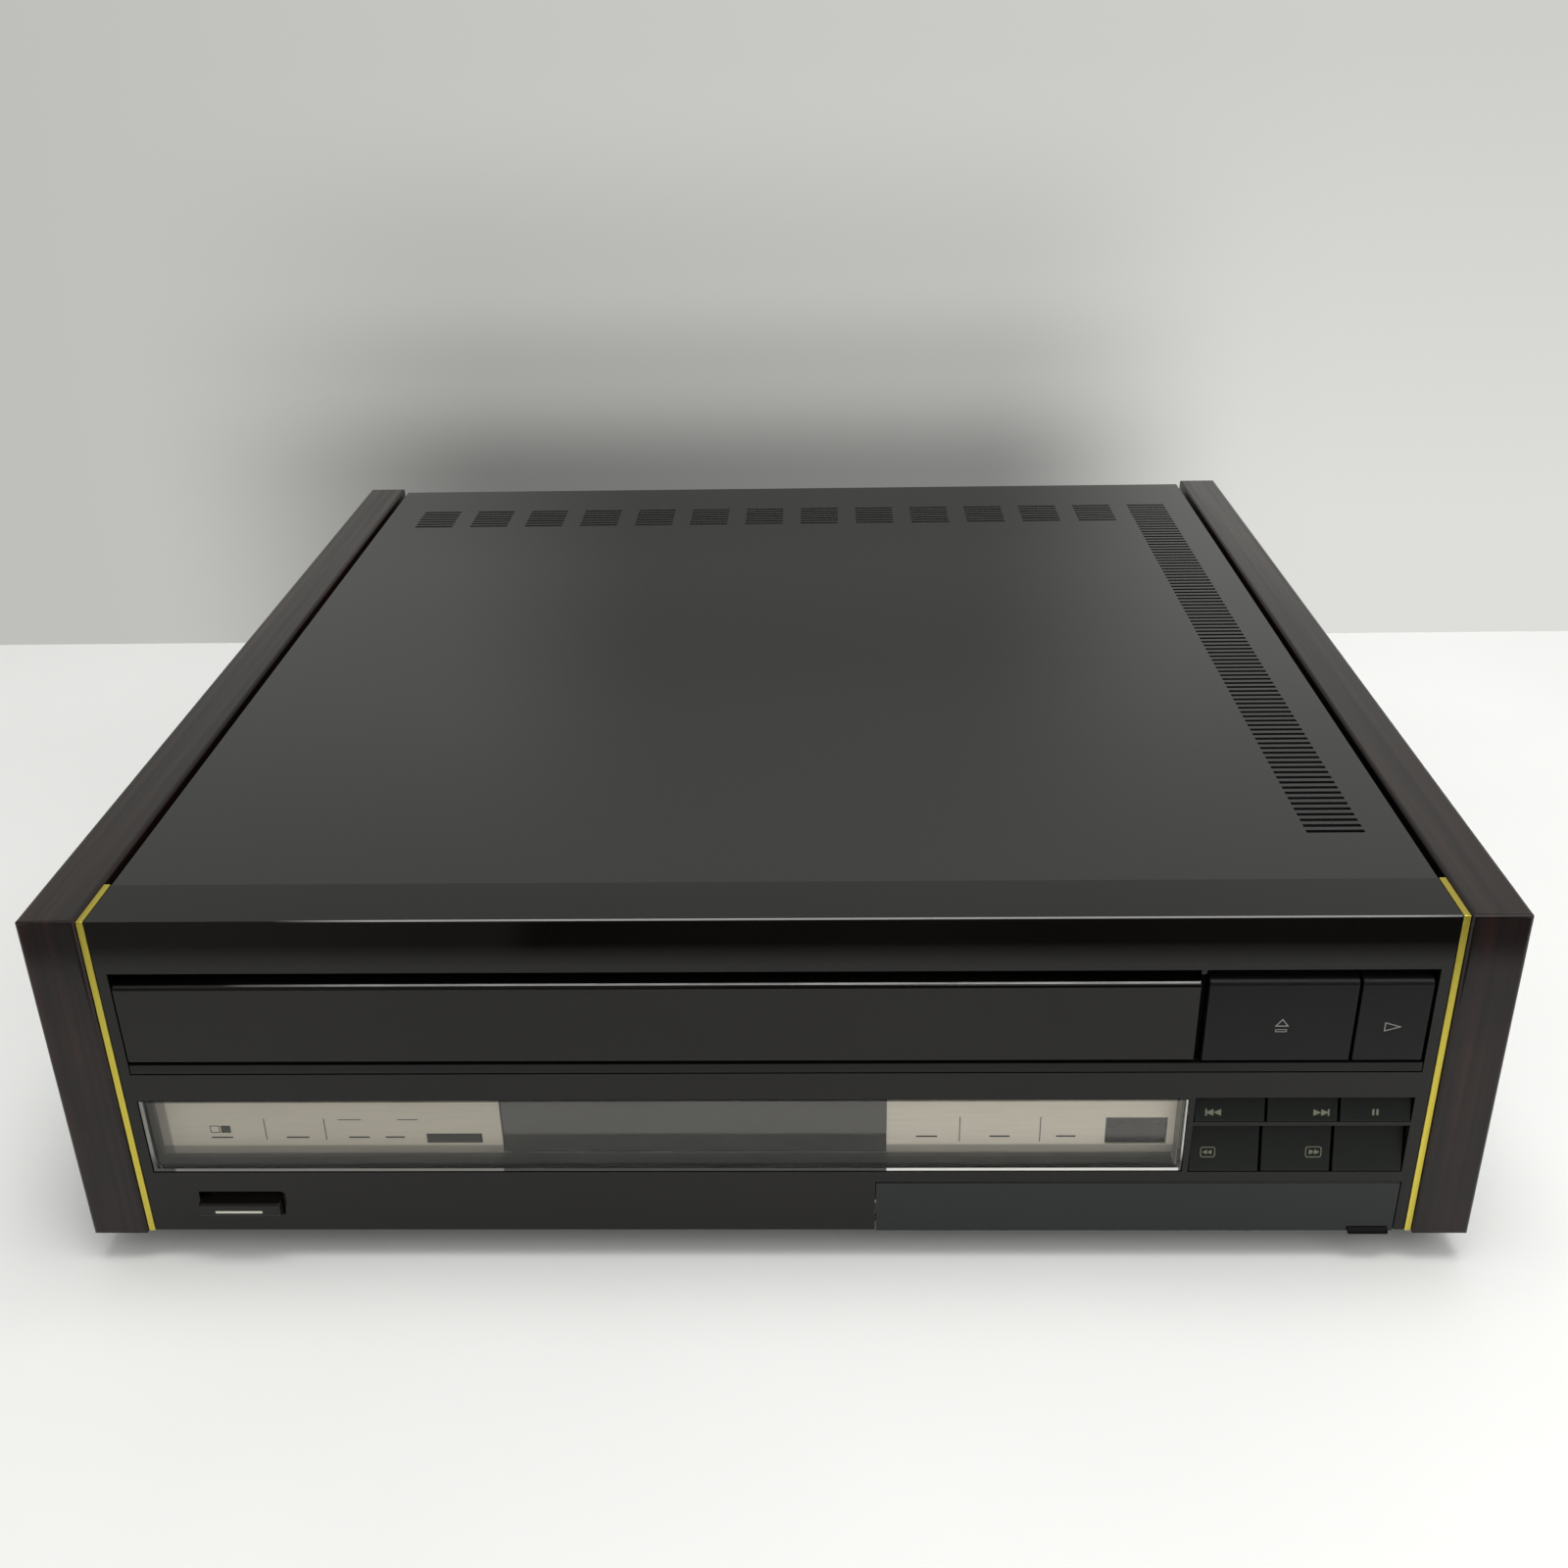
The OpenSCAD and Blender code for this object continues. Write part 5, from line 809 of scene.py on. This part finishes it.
sockets = {"first": -60, "pitch": 20, "height": 34, "back": 450.2, "round": 0.25, "body": 4.45, "hole": 1.7,
           "rings": ((0.70, 0.50, 0.04), (0.68, 0.67, 0.63), (0.50, 0.03, 0.025), (0.02, 0.02, 0.02))}


def makeRearSockets():
    piece = copyOfNode("rear_jacks")
    behind = sockets["back"] - caseMid
    bevelEdges(piece, sockets["round"], 2, lambda end: end.y > behind)
    finishCopy(piece, "rear_jacks")
    piece.data.materials.append(finishes["inner_black"])
    for number, colour in enumerate(sockets["rings"]):
        piece.data.materials.append(makeSpeckled("socket_ring_%d" % (number + 1), {"IOR": 1.46},
                                                 tuple(0.9 * c for c in colour), colour, 700, (0.3, 0.4)))
    last = len(sockets["rings"]) - 1
    height = sockets["height"] + footHeight
    for face in piece.data.polygons:
        middle = face.center / mm
        number = min(last, max(0, round((middle.x - sockets["first"]) / sockets["pitch"])))
        axis = Vector((sockets["first"] + number * sockets["pitch"], middle.y, height))
        away = max((piece.data.vertices[i].co / mm - axis).length for i in face.vertices)
        if middle.y < behind or away < sockets["hole"]:
            face.material_index = 1
        elif away > sockets["body"]:
            face.material_index = 2 + number


# What stands on a board has its own finish. The board's own top is the lowest of its large faces
boardParts = {"main_board": "inner_black", "power_supply": "motor_steel"}
boardShare = 0.3


def makeBoardParts(node):
    piece = finishCopy(copyOfNode(node), node)
    upward = [face for face in piece.data.polygons if face.normal.z > 0.9]
    largest = max(face.area for face in upward)
    boardTop = min(face.center.z for face in upward if face.area > boardShare * largest)
    paintFaces(piece, finishes[boardParts[node]], lambda face: face.center.z > boardTop + 0.2 * mm)


sideRounding = {"wood_panel_left": 0.7, "wood_panel_right": 0.7, "gold_trims": 0.3}


def makeRoundedSide(node, width):
    piece = copyOfNode(node)
    low, high = nodeEdges(node)
    bevelEdges(piece, width, 3, lambda end: min(
        abs(end.y - low.y), abs(end.y - high.y), abs(end.z - low.z), abs(end.z - high.z)) < onPlane)
    finishCopy(piece, node)


makeFrontPanel()
makeTopCover()
makeRearSockets()
for node in boardParts:
    makeBoardParts(node)
for node, width in frontRounding.items():
    makeRoundedFront(node, width)
makeDisplayWindow()
makeDisplaySurround()
for node, width in sideRounding.items():
    makeRoundedSide(node, width)
print("finished copies done")


# Printed marks: thin plates on the faces that carry them
mark = {"thick": 0.05, "line": 0.30, "triangleWide": 1.732, "triangleHigh": 1.5}
printColours = {"lightGrey": (0.26, 0.26, 0.245), "oliveGrey": (0.165, 0.172, 0.125),
                "darkGrey": (0.035, 0.034, 0.030), "white": (0.62, 0.61, 0.52)}
inks = {name: makeSpeckled("ink_" + name, {"IOR": 1.4}, tuple(0.92 * c for c in colour), colour, 900,
                           (0.45, 0.6)) for name, colour in printColours.items()}


def faceMark(kind, centre, size, y, outline=0.0, tip="up", corner=0.0):
    deselectAll()
    if kind == "box":
        bpy.ops.mesh.primitive_plane_add(size=1)
        flat = bpy.context.object
        flat.scale = (size[0] * mm, size[1] * mm, 1)
    else:
        bpy.ops.mesh.primitive_circle_add(vertices=3, radius=1, fill_type="NGON")
        flat = bpy.context.object
        flat.rotation_euler.z = {"up": 0, "left": pi / 2, "right": -pi / 2}[tip]
        bpy.ops.object.transform_apply(location=False, rotation=True, scale=False)
        across, up = mark["triangleWide"], mark["triangleHigh"]
        if tip != "up":
            across, up = up, across
        flat.scale = (size[0] * mm / across, size[1] * mm / up, 1)
    bpy.ops.object.transform_apply(location=False, rotation=False, scale=True)
    editMode("FACE")
    bpy.ops.mesh.select_all(action="SELECT")
    if corner:
        bpy.ops.mesh.bevel(offset=corner * mm, segments=3, affect="VERTICES")
        bpy.ops.mesh.select_all(action="SELECT")
    if outline:
        bpy.ops.mesh.inset(thickness=outline * mm, depth=0)
        bpy.ops.mesh.delete(type="FACE")
        bpy.ops.mesh.select_all(action="SELECT")
    bpy.ops.mesh.extrude_region_move(TRANSFORM_OT_translate={"value": (0, 0, mark["thick"] * mm)})
    bpy.ops.mesh.select_all(action="SELECT")
    bpy.ops.mesh.normals_make_consistent(inside=False)
    objectMode()
    flat.rotation_euler.x = pi / 2
    flat.location = atFront(centre[0], centre[1], y)
    activate(flat)
    bpy.ops.object.transform_apply(location=True, rotation=True, scale=True)
    return flat


def joinMarks(name, marks, ink, body, lean=None):
    activate(marks[0])
    for each in marks:
        each.select_set(True)
    if len(marks) > 1:
        bpy.ops.object.join()
    piece = bpy.context.object
    piece.name = name
    piece.data.materials.clear()
    piece.data.materials.append(inks[ink])
    if lean:
        bpy.ops.transform.rotate(value=lean["angle"], orient_axis="X", orient_type="GLOBAL",
                                 center_override=lean["about"])
        bpy.ops.object.transform_apply(location=True, rotation=True, scale=True)
    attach(piece, body)


def centred(x0, x1, z0, z1):
    return ((x0 + x1) / 2, (z0 + z1) / 2), (x1 - x0, z1 - z0)


def boxMark(x0, x1, z0, z1, y=faceY, outline=0.0, corner=0.0):
    return faceMark("box", *centred(x0, x1, z0, z1), y, outline, corner=corner)


openMark = {"triangle": (156.4, 160.8, 81.5, 84.3), "bar": (156.7, 160.3, 79.9, 80.9), "barLine": 0.22}
playMark = (189.2, 194.5, 80.0, 83.4)


def makeLargeKeyMarks():
    joinMarks("open_close_mark", [
        faceMark("triangle", *centred(*openMark["triangle"]), faceY, mark["line"]),
        boxMark(*openMark["bar"], outline=openMark["barLine"])],
        "lightGrey", "open_close_button")
    joinMarks("play_mark", [faceMark("triangle", *centred(*playMark), faceY, mark["line"], "right")],
              "lightGrey", "play_button")


# A sloped key's face leans back from a line just above its lower front edge
upperRow = {"from": 46.1, "rise": 8.4, "back": 2.6}
lowerRow = {"from": 26.1, "rise": 17.2, "back": 4.4}
skipIcons = {"skip_back": ("left", 138.4, 143.8, 47.5, 49.8),
             "skip_forward": ("right", 172.2, 177.7, 47.4, 49.6)}
scanIcons = {"scan_back": ("left", 138.5, 143.3, 30.4, 34.0),
             "scan_forward": ("right", 172.2, 177.4, 30.3, 34.1)}
pauseBars = ((191.15, 191.85, 47.6, 49.6), (192.45, 193.15, 47.6, 49.6))
skipBar = 0.55
scanFrame = {"inX": 0.9, "inZ": 1.0, "line": 0.26, "corner": 0.8}


def twoArrows(x0, x1, z0, z1, tip):
    middle = (x0 + x1) / 2
    return [faceMark("triangle", *centred(*ends, z0, z1), faceY, 0, tip)
            for ends in ((x0, middle), (middle, x1))]


def skipMarks(tip, x0, x1, z0, z1):
    if tip == "left":
        return twoArrows(x0 + skipBar, x1, z0, z1, tip) + [boxMark(x0, x0 + skipBar, z0, z1)]
    return twoArrows(x0, x1 - skipBar, z0, z1, tip) + [boxMark(x1 - skipBar, x1, z0, z1)]


def boxedArrows(tip, x0, x1, z0, z1):
    inX, inZ = scanFrame["inX"], scanFrame["inZ"]
    return twoArrows(x0 + inX, x1 - inX, z0 + inZ, z1 - inZ, tip) + [
        boxMark(x0, x1, z0, z1, outline=scanFrame["line"], corner=scanFrame["corner"])]


def putOnKey(key, marks, row):
    lean = {"angle": atan2(row["back"], row["rise"]), "about": atFront(0, row["from"], faceY)}
    joinMarks(key + "_mark", marks, "oliveGrey", key + "_button", lean)


def makeSmallKeyMarks():
    for key, icon in skipIcons.items():
        putOnKey(key, skipMarks(*icon), upperRow)
    putOnKey("pause", [boxMark(*bar) for bar in pauseBars], upperRow)
    for key, icon in scanIcons.items():
        putOnKey(key, boxedArrows(*icon), lowerRow)


powerMark = {"place": (-184.8, -169.2, 10.85, 11.75), "y": -1.8}


def makePowerMark():
    joinMarks("power_mark", [boxMark(*powerMark["place"], powerMark["y"])], "white", "power_button")


backingMarks = {
    "y": 10.2, "thin": 0.28,
    "dashes": [(-185.8, -178.7), (-160.8, -153.3), (-140.0, -133.2), (-127.9, -121.5), (47.0, 53.9),
               (71.0, 77.6), (92.7, 99.0)],
    "dashHigh": (33.325, 33.875),
    "uprights": [(-167.5, 32.7, 41.2), (-147.6, 32.6, 41.1), (61.2, 31.5, 41.5), (87.4, 31.4, 41.4)],
    "levels": [(-142.9, -135.2, 40.7), (-123.2, -116.5, 40.7)],
    "block": (-114.2, -95.8, 31.3, 35.0),
    "halves": (-185.8, -179.0, 35.5, 38.4), "halvesApart": 0.4,
}


def makeDisplayPrint():
    y, thin = backingMarks["y"], backingMarks["thin"]
    x0, x1, z0, z1 = backingMarks["halves"]
    middle, apart = (x0 + x1) / 2, backingMarks["halvesApart"] / 2
    marks = [boxMark(*ends, *backingMarks["dashHigh"], y) for ends in backingMarks["dashes"]]
    marks += [boxMark(x - thin / 2, x + thin / 2, low, high, y) for x, low, high in backingMarks["uprights"]]
    marks += [boxMark(*ends, z - thin / 2, z + thin / 2, y) for *ends, z in backingMarks["levels"]]
    marks += [boxMark(*backingMarks["block"], y), boxMark(x0, middle - apart, z0, z1, y, thin),
              boxMark(middle + apart, x1, z0, z1, y)]
    joinMarks("display_print", marks, "darkGrey", "root")


makeLargeKeyMarks()
makeSmallKeyMarks()
makePowerMark()
makeDisplayPrint()
print("printed marks done")


# The stage: pale floor, grey wall and a dark card that only reflections see
def glossyRays(tree):
    return tree.nodes.new("ShaderNodeLightPath").outputs["Is Glossy Ray"]


def seenRays(tree):
    path = tree.nodes.new("ShaderNodeLightPath").outputs
    seen = path["Is Camera Ray"]
    for other in ("Is Glossy Ray", "Is Transmission Ray"):
        larger = tree.nodes.new("ShaderNodeMath")
        larger.operation = "MAXIMUM"
        tree.links.new(seen, larger.inputs[0])
        tree.links.new(path[other], larger.inputs[1])
        seen = larger.outputs[0]
    return seen


def addPlane(name, wide, high, at, turn=(0, 0, 0)):
    deselectAll()
    bpy.ops.mesh.primitive_plane_add(size=1, location=at, rotation=turn)
    plane = bpy.context.object
    plane.name = name
    plane.scale = (wide, high, 1)
    bpy.ops.object.transform_apply(location=True, rotation=True, scale=True)
    return plane


def emptyMaterial(name):
    material = bpy.data.materials.new(name)
    material.use_nodes = True
    material.node_tree.nodes.clear()
    return material, material.node_tree


def showMix(tree, factor, first, second, outKind="ShaderNodeOutputMaterial"):
    out = tree.nodes.new(outKind)
    mix = tree.nodes.new("ShaderNodeMixShader")
    for number, value in enumerate((factor, first.outputs[0], second.outputs[0])):
        tree.links.new(value, mix.inputs[number])
    tree.links.new(mix.outputs[0], out.inputs["Surface"])


# The floor is painted darker on the left and lighter on the right: painted light
floorLook = {"size": 6.0, "left": (0.79, 0.795, 0.77), "right": (0.89, 0.895, 0.87), "across": (-0.35, 0.4),
             "patches": 0.97}


def makeFloor():
    floor = addPlane("floor", floorLook["size"], floorLook["size"], (0, 0, 0))
    material, tree, shader = startMaterial("floor_pale", {"Roughness": 0.9, "Specular IOR Level": 0.1})
    cloud = twoTones(tree, noiseOn(tree, 6, 4), grey(floorLook["patches"]), grey(1.0))
    plain = changeOver(tree, placeParts(tree)["X"], floorLook["across"], floorLook["left"], floorLook["right"])
    setColour(tree, shader, multiply(tree, plain, cloud))
    floor.data.materials.append(material)


# The wall glows with painted light: darker on the left, lighter on the right, with a painted shadow behind the
# case and darker painted reflections
wallLook = {"y": 0.338, "wide": 8.0, "high": 4.0, "left": (0.52, 0.525, 0.495), "right": (0.73, 0.735, 0.705),
            "rightTop": (0.62, 0.625, 0.60), "across": (-0.45, 0.32), "up": (0.08, 0.34),
            "shadeAcross": [(-0.42, 0.0), (-0.17, 0.64), (0.11, 0.60), (0.28, 0.0)],
            "shadeUp": [(0.105, 1.1), (0.17, 0.56), (0.225, 0.27), (0.33, 0.0)],
            "mirroredAcross": [(-0.24, 0.0), (-0.08, 1.0), (0.10, 1.0), (0.26, 0.0)],
            "mirroredUp": (0.28, 0.44), "mirrored": grey(0.56)}


def makeWall():
    wall = addPlane("wall", wallLook["wide"], wallLook["high"], (0, wallLook["y"], wallLook["high"] / 2),
                    (pi / 2, 0, 0))
    material, tree = emptyMaterial("wall_grey")
    glow = tree.nodes.new("ShaderNodeEmission")
    places = placeParts(tree)
    right = changeOver(tree, places["Z"], wallLook["up"], wallLook["right"], wallLook["rightTop"])
    plain = changeOver(tree, places["X"], wallLook["across"], wallLook["left"], right)
    shade = multiply(tree, steps(tree, places["X"], wallLook["shadeAcross"]),       # soft, behind the case
                     steps(tree, places["Z"], wallLook["shadeUp"]))
    shaded = multiply(tree, plain, mixColours(tree, 1.0, grey(1.0), shade, "SUBTRACT"))
    dim = multiply(tree, steps(tree, places["X"], wallLook["mirroredAcross"]),      # darker in reflections
                   span(tree, places["Z"], 1, 0, *wallLook["mirroredUp"]))
    dim = multiply(tree, dim, glossyRays(tree))
    darker = multiply(tree, shaded, wallLook["mirrored"])
    tree.links.new(mixColours(tree, dim, shaded, darker), glow.inputs["Color"])
    behind = tree.nodes.new("ShaderNodeNewGeometry").outputs["Backfacing"]
    shown = tree.nodes.new("ShaderNodeMath")
    shown.operation = "SUBTRACT"
    shown.use_clamp = True
    tree.links.new(seenRays(tree), shown.inputs[0])
    tree.links.new(behind, shown.inputs[1])
    clear = tree.nodes.new("ShaderNodeBsdfTransparent")
    showMix(tree, shown.outputs[0], clear, glow)
    wall.data.materials.append(material)
    wall.visible_shadow = False


cardLook = {"near": -0.402, "far": -1.9, "wide": 4.0, "lift": 0.002, "soft": 0.018, "high": 1.3,
            "across": [(-0.30, 0.72), (-0.13, 0.84), (-0.11, 1.0), (0.30, 0.96)]}


def makeDarkCard():
    near, far = cardLook["near"], cardLook["far"]
    card = addPlane("dark_card", cardLook["wide"], near - far, (0, (near + far) / 2, cardLook["lift"]))
    material, tree = emptyMaterial("card_dark")
    dark = tree.nodes.new("ShaderNodeEmission")
    dark.inputs["Strength"].default_value = 0.0
    places = placeParts(tree)
    cover = multiply(tree, span(tree, places["Y"], 1, 0, near - cardLook["soft"], near),
                     steps(tree, places["X"], cardLook["across"]))
    clear = tree.nodes.new("ShaderNodeBsdfTransparent")
    showMix(tree, cover, clear, dark)
    points = card.data.vertices
    pick(card, "EDGE", lambda edge: max(points[i].co.y for i in edge.vertices) < far + 0.01)
    bpy.ops.mesh.extrude_region_move(TRANSFORM_OT_translate={"value": (0, 0, cardLook["high"])})
    objectMode()
    card.data.materials.append(material)
    card.visible_camera = card.visible_diffuse = card.visible_shadow = card.visible_transmission = False


worldLook = {"sky": 0.55, "seen": grey(0.62)}


def makeWorld():
    world = bpy.data.worlds.new("studio")
    bpy.context.scene.world = world
    world.use_nodes = True
    tree = world.node_tree
    tree.nodes.clear()
    sky, seen = tree.nodes.new("ShaderNodeBackground"), tree.nodes.new("ShaderNodeBackground")
    sky.inputs["Strength"].default_value = worldLook["sky"]
    seen.inputs["Color"].default_value = (*worldLook["seen"], 1)
    showMix(tree, seenRays(tree), sky, seen, "ShaderNodeOutputWorld")


lamps = {
    "softbox_top": {"at": (0.12, -0.25, 1.9), "aim": (0, 0, 0.05), "size": 1.1, "power": 24},
    "softbox_front": {"at": (0.9, -1.6, 1.5), "aim": (0, 0, 0.05), "size": 1.6, "power": 14},
}


def makeLamps():
    for name, lamp in lamps.items():
        data = bpy.data.lights.new(name, "AREA")
        data.shape = "SQUARE"
        data.size = lamp["size"]
        data.energy = lamp["power"]
        light = bpy.data.objects.new(name, data)
        bpy.context.scene.collection.objects.link(light)
        light.location = lamp["at"]
        light.rotation_euler = (Vector(lamp["aim"]) - Vector(lamp["at"])).to_track_quat("-Z", "Y").to_euler()


view = {"at": (0.018187, -0.656108, 0.393273), "turn": (63.4187, 0.9844, 1.1071), "lens": 38.309,
        "sensor": 36}


def makeCamera():
    data = bpy.data.cameras.new("camera")
    data.lens = view["lens"]
    data.sensor_width = view["sensor"]
    camera = bpy.data.objects.new("camera", data)
    bpy.context.scene.collection.objects.link(camera)
    camera.location = view["at"]
    camera.rotation_euler = [radians(angle) for angle in view["turn"]]
    bpy.context.scene.camera = camera


makeFloor()
makeWall()
makeDarkCard()
makeWorld()
makeLamps()
makeCamera()
bpy.context.scene.view_settings.view_transform = "Standard"
print("stage, lights and camera done")
